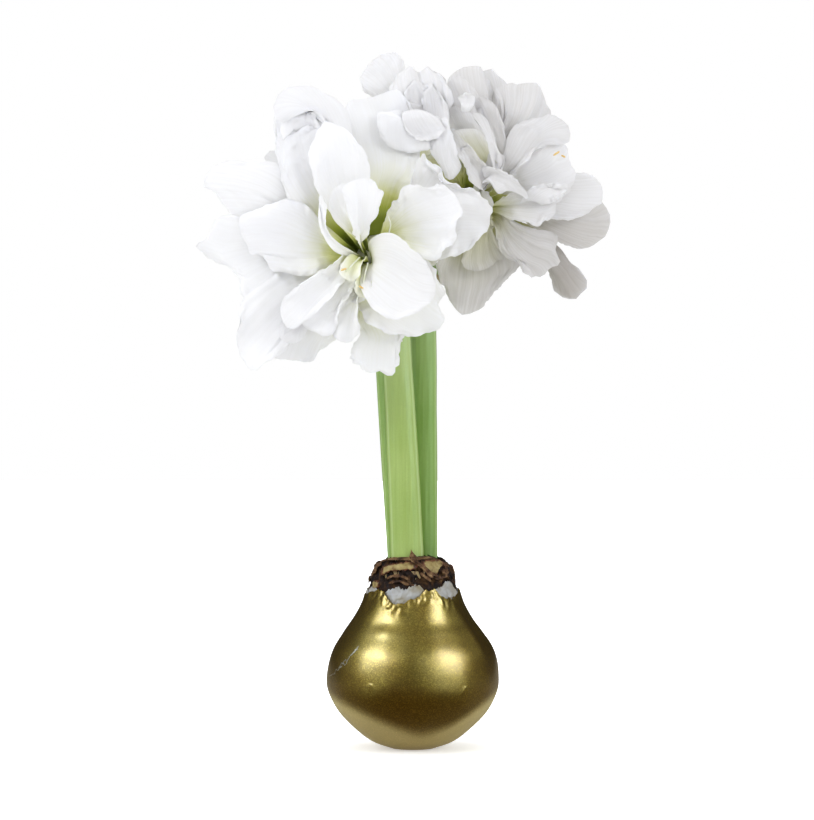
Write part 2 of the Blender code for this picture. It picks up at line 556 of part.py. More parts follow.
def petal_points(bloom, design):
    """The petal's surface as a grid of points.

    Three lines carry it: its two edges, drawn through the design's points in the face plane and read
    at even shares of their length, and its midrib. Across, each row is the parabola through the three.
    The depth follows the midrib's, from the floral tube through the middle to the tip; the edges come
    forward by the cup, and ruffle along the normal.
    """
    rows, columns = design["grid"]
    throat = np.array(bloom["throat"])
    axis = unit(bloom["axis"])
    base = -axis * TUBE_LENGTH
    left = np.array(design["left"]) * bloom["size"]
    right = np.array(design["right"]) * bloom["size"]
    tip = np.array(design["tip"]) * bloom["size"]
    centre = (left.mean(0) + right.mean(0) + tip) / 3
    out = np.array((centre[0], 0.0, centre[1]))
    out = unit(out - axis * (out @ axis))
    side = np.cross(out, axis)
    claw = math.radians(CLAW_ANGLE)
    ring = TUBE_RADIUS + RING_SHARE * design["depth"][0]
    roots = [base + ring * (out * math.cos(a) + side * math.sin(a)) for a in (-claw, 0.0, claw)]

    outline = smooth_line(np.vstack((roots[0][[0, 2]], left, tip, right, roots[2][[0, 2]])), 400)
    top = int(np.argmin(((outline - tip) ** 2).sum(1)))
    share = 1 - (1 - np.linspace(0, 1, rows)) ** 1.15
    first = along(outline[:top + 1], share)
    second = along(outline[top:][::-1], share)
    thirds = np.array((0.35, 0.7))
    thirds = (along(outline[:top + 1], thirds) + along(outline[top:][::-1], thirds)) / 2
    midrib = along(smooth_line(np.vstack((roots[1][[0, 2]], thirds, tip))), share)

    start = roots[1][1]
    middle, end = design["depth"]
    knots = np.array([(0.0, start), (0.3, 0.35 * start + 0.65 * middle), (0.62, middle), (1.0, end)])
    depth_line = smooth_line(knots, 200)
    depth = np.interp(share, depth_line[:, 0], depth_line[:, 1])
    grown = np.clip(share / 0.35, 0, 1)
    grown = grown ** 2 * (3 - 2 * grown)
    wide = np.linalg.norm(first - second, axis=1) / 2
    lift = design["cup"] * wide ** 2 / wide.max() * grown
    depth_first = depth + (roots[0][1] - start) * (1 - grown) - lift
    depth_second = depth + (roots[2][1] - start) * (1 - grown) - lift

    lines = [np.stack((flat[:, 0], y, flat[:, 1]), 1)[:, None]
             for flat, y in ((first, depth_first), (midrib, depth), (second, depth_second))]
    s = np.linspace(-1, 1, columns)[None, :]
    grid = (lines[0] * (s * (s - 1) / 2)[..., None] + lines[1] * (1 - s * s)[..., None]
            + lines[2] * (s * (s + 1) / 2)[..., None])
    normal = np.cross(np.gradient(grid, axis=1), np.gradient(grid, axis=0))
    normal = normal / np.maximum(np.linalg.norm(normal, axis=-1, keepdims=True), 1e-6)
    t = share[:, None]
    phase = design["phase"]
    wave = (np.sin(3.0 * math.pi * t + phase + 1.9 * (s > 0))
            + 0.5 * np.sin(6.8 * math.pi * t + 2.3 * phase + s))
    edge_wave = np.clip((t - 0.3) / 0.5, 0, 1) * np.abs(s) ** 2.5 * wave
    tip_wave = np.clip((t - 0.75) / 0.25, 0, 1) ** 2 * np.sin(4.5 * s + 1.7 * phase)
    grid = grid + normal * (design["ruffle"] * (0.7 * edge_wave + 0.6 * tip_wave))[..., None]
    grid[-1] = grid[-1].mean(0)
    return grid + throat


def build_bloom(key):
    """One double bloom: petals and petaloids fused to the floral tube."""
    bloom = THROATS[key]
    base, axis = bloom_base(key)
    tube_line = [base + axis * run for run, _ in TUBE_SECTIONS]
    tube = loft("bloom_" + key, tube_line, [(radius, radius) for _, radius in TUBE_SECTIONS], PETAL)
    petals = []
    for number, design in enumerate(PETALS[key]):
        points = petal_points(bloom, design)
        petals.append(sheet("petal %s %02d" % (key, number), points, PETAL_THICKNESS, PETAL))
    boolean(tube, "UNION", petals)
    keep_largest_body(tube)
    shade(tube)


build_wax_and_bulb()
build_stems()
for bloom_key in THROATS:
    build_bloom(bloom_key)
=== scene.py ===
"""Waxed amaryllis in bloom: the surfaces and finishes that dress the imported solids.

Everything is in metres, with the origin at the flat spot under the bulb and the front at -Y.
Sizes in the tables are millimetres. On the bulb, a bearing is an angle round the Z axis in degrees
from the front, growing towards +X.
"""
import math

import bmesh
import bpy
import numpy as np
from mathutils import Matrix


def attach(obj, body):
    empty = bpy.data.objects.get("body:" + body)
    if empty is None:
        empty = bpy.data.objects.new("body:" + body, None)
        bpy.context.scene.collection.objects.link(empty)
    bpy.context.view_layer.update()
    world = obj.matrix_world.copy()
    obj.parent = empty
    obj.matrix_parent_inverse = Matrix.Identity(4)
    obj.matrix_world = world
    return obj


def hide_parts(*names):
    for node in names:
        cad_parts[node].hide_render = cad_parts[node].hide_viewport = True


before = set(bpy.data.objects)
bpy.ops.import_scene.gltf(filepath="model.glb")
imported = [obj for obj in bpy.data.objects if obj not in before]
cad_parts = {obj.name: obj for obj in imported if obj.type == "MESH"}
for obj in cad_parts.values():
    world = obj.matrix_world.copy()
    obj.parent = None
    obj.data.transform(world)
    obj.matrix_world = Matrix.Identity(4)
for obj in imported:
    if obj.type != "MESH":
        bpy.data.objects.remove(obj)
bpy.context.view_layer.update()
MM = 0.001

# Gold coat -------------------------------------------------------------------------------------------
# A skin of metallic gold wax over the bulb, dipped to just under the neck. It has a ragged, lumpy upper
# edge, a few runs and dents, and a flat spot where the bulb was stood to set. Flakes in it sparkle.

COAT_PROFILE = [(12.0, 0.0), (22.0, 3.6), (30.4, 9.6), (41.2, 20.6), (46.9, 33.0), (47.2, 41.0),
                (44.6, 53.6), (38.4, 64.0), (33.2, 71.0), (28.8, 79.0), (25.6, 88.0), (24.2, 96.0)]
COAT_WALL = 1.2
COAT_COLUMNS = 360
RIM_RADIUS = 24.0          # of the bulb where the wax ends
# (bearing, height) of the ragged upper edge of the gold
COAT_RIM = [(-180, 85.0), (-150, 82.5), (-120, 86.0), (-90, 84.5), (-66, 85.2), (-50, 87.0), (-37, 86.6),
            (-31, 83.6), (-19, 80.2), (-8, 80.8), (-2, 83.2), (7, 84.2), (13, 87.0), (27, 87.6), (34, 84.0),
            (48, 82.4), (64, 83.8), (85, 86.4), (120, 83.0), (150, 86.5), (180, 85.0)]
# (bearing, height) below which the gold wax is duller and painted paler: a painted reflection of the table
# top
COAT_TABLE_REFLECTION = [(-180, 24.0), (-140, 21.0), (-110, 29.0), (-78, 30.0), (-52, 25.5), (-38, 21.5), (-14, 14.5),
             (8, 10.6), (30, 14.0), (60, 26.5), (80, 31.0), (120, 24.0), (150, 17.0), (180, 24.0)]
# Soft dents and swellings: (bearing, height, half width across, half height, depth out)
COAT_SWELLS = [(-28, 80, 8.5, 7.0, 1.9), (26, 80, 10, 7.5, 2.0), (-24, 85, 5, 3, 0.5), (22, 85, 6, 3, 0.5),
               (-25, 66, 5, 3, 0.5), (-75, 60, 15, 9, -0.8), (70, 66, 10, 12, -1.2), (58, 62, 5, 14, 0.9),
               (0, 60, 18, 8, -0.5), (-130, 58, 22, 10, -1.0), (150, 68, 20, 8, 0.9),
               (115, 50, 16, 14, 0.7), (-160, 38, 22, 14, 0.8), (8, 17, 4.5, 4.5, 0.9),
               (-52, 30, 14, 12, 0.4), (28, 27, 12, 6, 0.7), (-32, 28, 10, 6, 0.6)]
# Thin runs of wax, as arches of raised line: (bearing, height of the top, half width, length)
COAT_RUNS = [(-28.5, 38.5, 1.9, 12.0), (36.5, 37.0, 1.9, 5.5), (0.5, 20.5, 4.2, 12.0), (140, 36.0, 2.0, 9.0)]


def smooth_line(points, count=200):
    """Points along the smooth curve through the given ones: a cubic between each pair, whose slopes are
    those of the points' neighbours."""
    points = np.asarray(points, float)
    steps = np.linalg.norm(np.diff(points, axis=0), axis=1) ** 0.75
    knots = np.concatenate(([0.0], np.cumsum(steps)))
    slopes = np.gradient(points, knots, axis=0)
    at = np.linspace(0.0, knots[-1], count)
    k = np.clip(np.searchsorted(knots, at, side="right") - 1, 0, len(points) - 2)
    h = (knots[k + 1] - knots[k])[:, None]
    u = (at - knots[k])[:, None] / h
    return ((2 * u**3 - 3 * u**2 + 1) * points[k] + (u**3 - 2 * u**2 + u) * h * slopes[k]
            + (3 * u**2 - 2 * u**3) * points[k + 1] + (u**3 - u**2) * h * slopes[k + 1])


def smoothstep(low, high, value):
    """0 below low, 1 above high, and a smooth S between."""
    share = np.clip((value - low) / (high - low), 0.0, 1.0)
    return share * share * (3.0 - 2.0 * share)


def ripple(u, v, seed, scale, octaves=3):
    """Smooth noise between about -1 and 1: in each octave, sine waves of nearly one length that run in
    directions spread evenly round the plane, each octave twice as fine and half as high."""
    draw = np.random.default_rng(seed)
    total = np.zeros(np.broadcast(u, v).shape)
    waves = 7
    for octave in range(octaves):
        for number in range(waves):
            turn = math.pi * (number + draw.uniform(0.0, 1.0)) / waves
            rate = 2.0**octave / scale * draw.uniform(0.6, 1.25)
            phase = draw.uniform(0.0, 2.0 * math.pi)
            total += (np.sin(2.0 * math.pi * rate * (u * math.cos(turn) + v * math.sin(turn)) + phase)
                      * 0.5**octave * 0.28)
    return total


def make_piece(name, grids, material, uvs=None, attributes=None, wrap=False):
    """An object from grids of millimetre points, each rows x columns x 3, joined in one mesh.

    With wrap, the last column joins the first. uvs and attributes hold one array per grid."""
    points, quads, first = [], [], 0
    for grid in grids:
        rows, columns = grid.shape[:2]
        index = np.arange(rows * columns).reshape(rows, columns) + first
        right = np.roll(index, -1, axis=1) if wrap else index[:, 1:]
        left = index if wrap else index[:, :-1]
        quads.append(np.stack((left[:-1], right[:-1], right[1:], left[1:]), -1).reshape(-1, 4))
        points.append(grid.reshape(-1, 3))
        first += rows * columns
    points = np.concatenate(points) * MM
    quads = np.concatenate(quads)
    mesh = bpy.data.meshes.new(name)
    mesh.vertices.add(len(points))
    mesh.vertices.foreach_set("co", points.astype(np.float32).ravel())
    mesh.loops.add(quads.size)
    mesh.loops.foreach_set("vertex_index", quads.astype(np.int32).ravel())
    mesh.polygons.add(len(quads))
    mesh.polygons.foreach_set("loop_start", np.arange(0, quads.size, 4, dtype=np.int32))
    mesh.polygons.foreach_set("use_smooth", np.ones(len(quads), dtype=bool))
    mesh.update(calc_edges=True)
    if uvs is not None:
        flat = np.concatenate([uv.reshape(-1, 2) for uv in uvs])
        layer = mesh.uv_layers.new(name="UVMap")
        layer.data.foreach_set("uv", flat[quads.ravel()].astype(np.float32).ravel())
    for label, arrays in (attributes or {}).items():
        flat = np.concatenate([array.reshape(-1) for array in arrays])
        mesh.attributes.new(label, "FLOAT", "POINT").data.foreach_set("value", flat.astype(np.float32))
    edit = bmesh.new()
    edit.from_mesh(mesh)
    bmesh.ops.remove_doubles(edit, verts=edit.verts, dist=0.00002)
    edit.to_mesh(mesh)
    edit.free()
    mesh.set_sharp_from_angle(angle=math.radians(100.0))
    mesh.materials.append(material)
    piece = bpy.data.objects.new(name, mesh)
    bpy.context.scene.collection.objects.link(piece)
    return piece


def connect(target, inputs):
    """Set a node's inputs by name or number, or link them to the sockets given."""
    for key, value in inputs.items():
        if isinstance(value, bpy.types.NodeSocket):
            target.id_data.links.new(value, target.inputs[key])
        else:
            target.inputs[key].default_value = value


def node(tree, kind, inputs=None, **settings):
    """Add a node, set its properties, and set or link its inputs."""
    made = tree.nodes.new(kind)
    for key, value in settings.items():
        setattr(made, key, value)
    connect(made, inputs or {})
    return made


def new_material(name):
    """A material, its node tree, its Principled shader and the Object coordinates in it."""
    material = bpy.data.materials.new(name)
    material.use_nodes = True
    tree = material.node_tree
    return material, tree, tree.nodes["Principled BSDF"], node(tree, "ShaderNodeTexCoord").outputs["Object"]


def rgba(colour):
    """A socket as it is; an (r, g, b) colour or a grey as the four numbers of a colour socket."""
    if isinstance(colour, bpy.types.NodeSocket):
        return colour
    return (*colour, 1.0) if isinstance(colour, tuple) else (colour, colour, colour, 1.0)


def ramp(tree, factor, stops):
    """A colour ramp: stops are (position, linear colour or grey)."""
    made = node(tree, "ShaderNodeValToRGB", {"Fac": factor})
    elements = made.color_ramp.elements
    while len(elements) < len(stops):
        elements.new(0.5)
    for element, (position, colour) in zip(elements, stops):
        element.position = position
        element.color = rgba(colour)
    return made.outputs["Color"]


def mix(tree, factor, first, second, blend="MIX"):
    """Mix two colours; a plain colour may stand in for either."""
    made = node(tree, "ShaderNodeMix", data_type="RGBA", blend_type=blend)
    connect(made, {0: factor, 6: rgba(first), 7: rgba(second)})
    return made.outputs[2]


def shaded(tree, share, colour, factor, stops):
    """The colour multiplied by a ramp of the factor, as strongly as the share says."""
    return mix(tree, share, colour, ramp(tree, factor, stops), "MULTIPLY")


def math_node(tree, operation, *values):
    """One math operation on values or sockets."""
    return node(tree, "ShaderNodeMath", dict(enumerate(values)), operation=operation).outputs[0]


def scaled(tree, value, by, add=0.0):
    """value times by, plus add; each is a number or a socket."""
    return math_node(tree, "MULTIPLY_ADD", value, by, add)


def dot(tree, first, second):
    """The dot product of two vectors or vector sockets."""
    return node(tree, "ShaderNodeVectorMath", {0: first, 1: second}, operation="DOT_PRODUCT").outputs["Value"]


def bump(tree, height, strength, distance, below=None):
    """The normal of a bump, on top of another bump where one is given."""
    made = node(tree, "ShaderNodeBump", {"Height": height, "Strength": strength, "Distance": distance})
    if below is not None:
        connect(made, {"Normal": below})
    return made.outputs[0]


def attribute(tree, name):
    """A vertex attribute's value."""
    return node(tree, "ShaderNodeAttribute", attribute_name=name).outputs["Fac"]


# The grain that wax, scales, leaves and petals share: a noise, stretched along the axes it is read on.
grain_group = bpy.data.node_groups.new("grain", "ShaderNodeTree")
GRAIN_INPUTS = {"Vector": "NodeSocketVector", "Stretch": "NodeSocketVector", "Scale": "NodeSocketFloat",
                "Detail": "NodeSocketFloat", "Roughness": "NodeSocketFloat", "Distortion": "NodeSocketFloat"}
for label, kind in GRAIN_INPUTS.items():
    grain_group.interface.new_socket(label, in_out="INPUT", socket_type=kind)
grain_group.interface.new_socket("Value", in_out="OUTPUT", socket_type="NodeSocketFloat")
given = node(grain_group, "NodeGroupInput").outputs
stretched = node(grain_group, "ShaderNodeMapping", {"Vector": given["Vector"], "Scale": given["Stretch"]})
speckle = node(grain_group, "ShaderNodeTexNoise", {"Vector": stretched.outputs[0]})
connect(speckle, {label: given[label] for label in ("Scale", "Detail", "Roughness", "Distortion")})
node(grain_group, "NodeGroupOutput", {"Value": speckle.outputs["Fac"]})


def grain(tree, vector, scale, detail=2.0, roughness=0.5, distortion=0.0, stretch=(1.0, 1.0, 1.0)):
    """The shared grain on a vector, with its own fineness, detail and stretch."""
    values = {"Vector": vector, "Stretch": stretch, "Scale": scale, "Detail": detail,
              "Roughness": roughness, "Distortion": distortion}
    return node(tree, "ShaderNodeGroup", values, node_tree=grain_group).outputs["Value"]


def unit(vector):
    """The vector at length one."""
    vector = np.asarray(vector, float)
    return vector / np.linalg.norm(vector, axis=-1, keepdims=True)


def coat_radius(height, inset=0.0):
    """Radius at a height of the gold's outer face, or of a surface set in from it along its normal."""
    line = smooth_line(COAT_PROFILE, 400)
    slope = np.gradient(line, axis=0)
    outward = np.stack((slope[:, 1], -slope[:, 0]), 1)
    line = line - unit(outward) * inset
    return np.interp(height, line[:, 1], line[:, 0])


def bearings(count):
    """Bearings all round the bulb, as one row."""
    return np.linspace(-180.0, 180.0, count, endpoint=False)[None, :]


def rim_at(table, bearing):
    """Height of an edge at each bearing, smooth between the table's points."""
    line = smooth_line(table, 600)
    return np.interp((bearing + 180.0) % 360.0 - 180.0, line[:, 0], line[:, 1])


def torn_rim(table, bearing, size, seed, length, radius=RIM_RADIUS):
    """Height of a ragged edge: the smooth one, with teeth of the given size and length."""
    return rim_at(table, bearing) + size * ripple(np.radians(bearing) * radius, 0.0 * bearing, seed, length)


def bulb_points(radius, bearing, height):
    """Points round the Z axis: radius and height in millimetres, bearing in degrees from the front."""
    angle = np.radians(bearing)
    return np.stack(np.broadcast_arrays(radius * np.sin(angle), -radius * np.cos(angle), height), -1)


def coat_relief(bearing, height, radius):
    """How far the gold stands out of its turned profile: swells and dents as Gaussian hills, runs as raised
    lines along an arch, lumps towards the rim, and a slow unevenness all over."""
    total = np.zeros(np.broadcast(bearing, height).shape)
    for at, up, wide, tall, out in COAT_SWELLS:
        far = np.radians((bearing - at + 180.0) % 360.0 - 180.0) * radius
        total += out * np.exp(-(far / wide) ** 2 - ((height - up) / tall) ** 2)
    for at, up, wide, long in COAT_RUNS:
        far = np.radians((bearing - at + 180.0) % 360.0 - 180.0) * radius
        down = up - height
        arch = np.abs(far) - wide * np.sqrt(np.clip(down / 4.0, 0.0, 1.0))
        ends = smoothstep(-0.6, 0.3, down) * smoothstep(long, long * 0.5, down)
        total += 0.34 * np.exp(-(arch / 0.5) ** 2) * ends
    side = np.radians(bearing) * 40.0
    near_rim = smoothstep(9.0, 1.0, rim_at(COAT_RIM, bearing) - height)
    total += 0.16 * ripple(side, height, 7, 26.0, 2)
    lumpy = 0.14 + 0.30 * (np.exp(-((bearing + 25.0) / 11.0) ** 2) + np.exp(-((bearing - 22.0) / 13.0) ** 2))
    total += near_rim * lumpy * ripple(side, height * 1.2, 11, 7.0, 2)
    return total * smoothstep(0.5, 8.0, height)


bearing = bearings(COAT_COLUMNS)
rim = torn_rim(COAT_RIM, bearing, 0.65, 3, 3.2)
height = np.linspace(0.0, 1.0, 170)[:, None] ** 0.9 * rim
radius = coat_radius(height)
relief = coat_relief(bearing, height, radius)
outer = bulb_points(radius + relief, bearing, height)
turn = np.linspace(0.15, 1.0, 6)[:, None] * math.pi
lip_middle = coat_radius(rim) + relief[-1:] - COAT_WALL / 2
lip = bulb_points(lip_middle + COAT_WALL / 2 * np.cos(turn), bearing, rim + COAT_WALL * 0.45 * np.sin(turn))
inner_height = np.concatenate((rim - np.linspace(0.8, 14.0, 10)[:, None],
                               np.linspace(60.0, COAT_WALL, 14)[:, None] + 0.0 * rim))
inner = bulb_points(coat_radius(inner_height, COAT_WALL), bearing, inner_height)
pole_low, pole_high = (bulb_points(np.zeros((1, 1)), bearing, level) for level in (0.0, COAT_WALL))
coat_grid = np.concatenate((pole_low, outer, lip, inner, pole_high))

gold, tree, shader, place = new_material("gold wax")
# pale is the share of the painted reflection of the table top, low on the gold; there the wax is also rougher
# and less metallic
pale = attribute(tree, "pale")
flakes = node(tree, "ShaderNodeTexVoronoi", {"Vector": place, "Scale": 2300.0}).outputs["Color"]
flake = node(tree, "ShaderNodeSeparateColor", {"Color": flakes}).outputs[0]
cloud = grain(tree, place, 30.0, 3.0, 0.55)
tarnish = ramp(tree, cloud, [(0.3, (0.225, 0.135, 0.017)), (0.55, (0.285, 0.195, 0.030)),
                             (0.75, (0.28, 0.20, 0.038))])
# painted reflection: the lower band of the gold is mixed towards pale khaki, as the table top mirrored in it
tarnish = mix(tree, pale, tarnish, (0.76, 0.64, 0.285))
skin = shaded(tree, scaled(tree, pale, -0.6, 0.75), tarnish, flake,
              [(0.0, (0.62, 0.60, 0.50)), (0.7, (0.95, 0.93, 0.88)), (1.0, (1.7, 1.7, 1.6))])
# a fine pale crack that wanders down the left shoulder: near to a slanted plane, between two ends, in front
CRACK_ASIDE, CRACK_DOWN = (0.739, 0.0, -0.673), (-0.673, 0.0, -0.739)
CRACK_PLACE = 0.0575       # metres from the origin to the plane, less half of what the crack wanders by
wander = scaled(tree, grain(tree, place, 230.0, 3.0, 0.6), 0.006, CRACK_PLACE)
aside = math_node(tree, "ABSOLUTE", math_node(tree, "ADD", dot(tree, place, CRACK_ASIDE), wander))
crack = ramp(tree, scaled(tree, aside, 1000.0), [(0.10, 1.0), (0.34, 0.0)])
ends = ramp(tree, scaled(tree, dot(tree, place, CRACK_DOWN), 30.0, 0.8),
            [(0.08, 0.0), (0.16, 1.0), (0.80, 1.0), (0.84, 0.0)])
front = math_node(tree, "LESS_THAN", dot(tree, place, (0.0, 1.0, 0.0)), 0.0)
crack = scaled(tree, scaled(tree, crack, ends), scaled(tree, front, 0.75))
waves = bump(tree, grain(tree, place, 90.0, 2.0), 0.35, 0.0006,
             bump(tree, flake, scaled(tree, pale, -0.2, 0.24), 0.00025))
dull = ramp(tree, cloud, [(0.3, 0.40), (0.7, 0.34)])
connect(shader, {"Base Color": mix(tree, crack, skin, (0.80, 0.76, 0.60)),
                 "Metallic": ramp(tree, pale, [(0.0, 0.97), (1.0, 0.70)]),
                 "Roughness": mix(tree, pale, dull, 0.6),
                 "Coat Weight": 0.6, "Coat Roughness": 0.26, "Normal": waves})

# painted reflection of the table top: how far each point of the gold lies in that band
table_reflection_share = smoothstep(5.5, -4.5, coat_grid[..., 2] - rim_at(COAT_TABLE_REFLECTION, bearing))
coat = make_piece("gold_wax_coat", [coat_grid], gold, wrap=True, attributes={"pale": [table_reflection_share]})
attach(coat, "root")
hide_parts("wax_coat")

# White first coat --------------------------------------------------------------------------------------
# The bulb was dipped in white wax before the gold. It shows as matt white patches between the gold's
# lower stretches and the dry neck, with a thick, broken upper edge.

UNDERCOAT_WALL = 0.9
UNDERCOAT_LOW = 70.0
UNDERCOAT_INSET = 0.55     # the white stands nearly as far out as the gold there
UNDERCOAT_UNDER = COAT_WALL + 0.3    # how deep it lies under the gold
UNDERCOAT_RIM = [(-180, 88.0), (-150, 86.5), (-120, 89.0), (-95, 87.0), (-75, 86.0), (-62, 89.5), (-48, 86.0),
                 (-40, 84.5), (-32, 87.6), (-22, 88.6), (-10, 88.0), (0, 89.8), (10, 89.6), (17, 86.8),
                 (24, 86.0), (36, 88.6), (48, 91.4), (60, 91.0), (72, 86.0), (100, 87.0), (130, 89.5),
                 (160, 86.0), (180, 88.0)]

bearing = bearings(300)
rim = torn_rim(UNDERCOAT_RIM, bearing, 0.7, 19, 2.2)
height = UNDERCOAT_LOW + np.linspace(0.0, 1.0, 60)[:, None] * (rim - UNDERCOAT_LOW)
above_gold = height - rim_at(COAT_RIM, bearing)
inset = UNDERCOAT_INSET + (UNDERCOAT_UNDER - UNDERCOAT_INSET) * smoothstep(1.5, -2.5, above_gold)
lumps = 0.28 * ripple(np.radians(bearing) * RIM_RADIUS, height, 23, 5.0, 3) - 0.1
radius = coat_radius(height) - inset + lumps * smoothstep(-3.0, 1.0, above_gold)
outer = bulb_points(radius, bearing, height)
turn = np.linspace(0.2, 1.0, 5)[:, None] * math.pi
lip = bulb_points(radius[-1:] - UNDERCOAT_WALL / 2 * (1.0 - np.cos(turn)), bearing, rim + 0.5 * np.sin(turn))
inner_height = np.concatenate((rim - np.linspace(1.0, 8.0, 6)[:, None], UNDERCOAT_LOW + 0.0 * rim))
inner = bulb_points(coat_radius(inner_height) - UNDERCOAT_UNDER - UNDERCOAT_WALL, bearing, inner_height)

white_wax, tree, shader, place = new_material("white wax")
crumbs = grain(tree, place, 700.0, 4.0, 0.6)
stain = grain(tree, place, 75.0, 2.0, 0.5)
tint = ramp(tree, stain, [(0.35, (0.31, 0.305, 0.28)), (0.52, (0.39, 0.385, 0.355)),
                          (0.70, (0.26, 0.225, 0.14))])
connect(shader, {"Base Color": shaded(tree, 0.25, tint, crumbs, [(0.3, 0.6), (0.7, 1.0)]),
                 "Roughness": ramp(tree, crumbs, [(0.3, 0.38), (0.7, 0.6)]),
                 "Normal": bump(tree, grain(tree, place, 160.0, 3.0, 0.55), 0.6, 0.0008),
                 "Subsurface Weight": 0.2, "Subsurface Radius": (0.002, 0.0016, 0.0012),
                 "Subsurface Scale": 1.0})

undercoat_grid = np.concatenate((outer, lip, inner, outer[:1]))
undercoat = make_piece("white_wax_coat", [undercoat_grid], white_wax, wrap=True)
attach(undercoat, "root")
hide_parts("wax_undercoat")

# Dry neck ----------------------------------------------------------------------------------------------
# The bulb's neck was cut across above the wax. Its outer scales have dried to dark, torn paper, and the
# thicker ones show pale cut faces. They are layered round the stems like the leaves of an onion.

NECK_PROFILE = [(24.6, 80.0), (24.3, 86.0), (23.7, 90.0), (23.3, 93.5), (22.2, 97.0), (21.4, 100.0),
                (19.0, 103.5), (15.5, 105.6), (12.8, 106.0)]
NECK_LOW = 80.0
NECK_RADIUS = 23.0
PLATE_RADIUS = 21.0        # of the neck where its plates and strips lie
PLATE_DEEP = 1.6           # how far a plate reaches into the neck
INNER_ROWS = 30
# (bearing, height) of the neck's torn top edge
NECK_RIM = [(-180, 103.5), (-150, 105.0), (-120, 102.0), (-95, 101.0), (-70, 102.5), (-48, 104.6),
            (-30, 105.6), (-12, 106.2), (5, 106.6), (25, 106.2), (50, 104.8), (75, 102.4), (100, 102.0),
            (130, 104.6), (180, 103.5)]


def neck_radius(height):
    """Radius of the neck's outer face at a height."""
    line = smooth_line(NECK_PROFILE, 300)
    order = np.argsort(line[:, 1])
    return np.interp(height, line[order, 1], line[order, 0])


bearing = bearings(420)
side = np.radians(bearing) * NECK_RADIUS
rim = torn_rim(NECK_RIM, bearing, 0.9, 31, 3.4, NECK_RADIUS)
height = NECK_LOW + np.linspace(0.0, 1.0, 90)[:, None] * (rim - NECK_LOW)
fold = ripple(side + 0.6 * height, 0.35 * height, 37, 6.5, 3)
shreds = ripple(side, height * 0.45, 41, 2.4, 2)
radius = neck_radius(height) + smoothstep(88.0, 94.0, height) * (1.15 * fold + 0.45 * shreds - 1.0)
outer = bulb_points(radius, bearing, height)
lip = bulb_points(radius[-1:] - 0.5, bearing, rim + 0.25)
inner_height = height[::-1][:INNER_ROWS]
inner = bulb_points(radius[::-1][:INNER_ROWS] - 1.0 - 0.02 * (rim - inner_height), bearing, inner_height)

dry, tree, shader, place = new_material("dry neck scale")
fibre = grain(tree, place, 900.0, 3.0, 0.6, stretch=(1.0, 1.0, 0.22))
patchy = grain(tree, place, 170.0, 4.0, 0.6, 0.6)
browns = ramp(tree, patchy, [(0.34, (0.005, 0.003, 0.0015)), (0.50, (0.022, 0.010, 0.004)),
                             (0.60, (0.065, 0.032, 0.012)), (0.70, (0.15, 0.088, 0.036)),
                             (0.82, (0.28, 0.20, 0.10))])
connect(shader, {"Base Color": shaded(tree, 0.55, browns, fibre, [(0.35, 0.35), (0.65, 1.3)]),
                 "Roughness": ramp(tree, fibre, [(0.3, 0.55), (0.7, 0.8)]), "Specular IOR Level": 0.12,
                 "Normal": bump(tree, fibre, 0.6, 0.0003, bump(tree, patchy, 0.7, 0.0007))})

neck = make_piece("dry_neck", [np.concatenate((outer, lip, inner))], dry, wrap=True)
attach(neck, "root")
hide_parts("tunic")

# Pale cut faces of the thick scales, as plates on the neck: the (bearing, height) points of the lower and of
# the upper edge, from left to right, and how far the plate stands out.
CUT_FACES = [
    ([(-50, 95.8), (-43, 96.2), (-36, 97.6), (-24, 98.2), (-12, 98.6), (6, 99.6)],
     [(-51, 99.2), (-42, 101.0), (-32, 101.8), (-18, 102.6), (-4, 103.0), (8, 101.2)], 0.9),
    ([(14, 100.6), (22, 98.0), (28, 95.8), (34, 96.0), (42, 99.4), (52, 101.0)],
     [(15, 103.6), (24, 104.2), (32, 104.6), (40, 104.4), (48, 103.8), (58, 102.6)], 0.7),
    ([(-66, 88.8), (-60, 88.2), (-54, 88.6), (-50, 89.6)],
     [(-65, 91.6), (-60, 92.4), (-55, 92.2), (-50, 91.4)], 1.2),
    ([(88, 96.0), (105, 95.0), (122, 96.4)], [(88, 99.4), (105, 100.6), (124, 99.8)], 0.8),
    ([(150, 97.0), (168, 95.8), (182, 97.2), (196, 98.0)],
     [(150, 101.0), (166, 102.4), (182, 102.6), (196, 101.4)], 0.9),
    ([(-138, 95.8), (-122, 94.6), (-108, 96.2)], [(-140, 99.8), (-122, 100.8), (-106, 99.4)], 0.8),
]


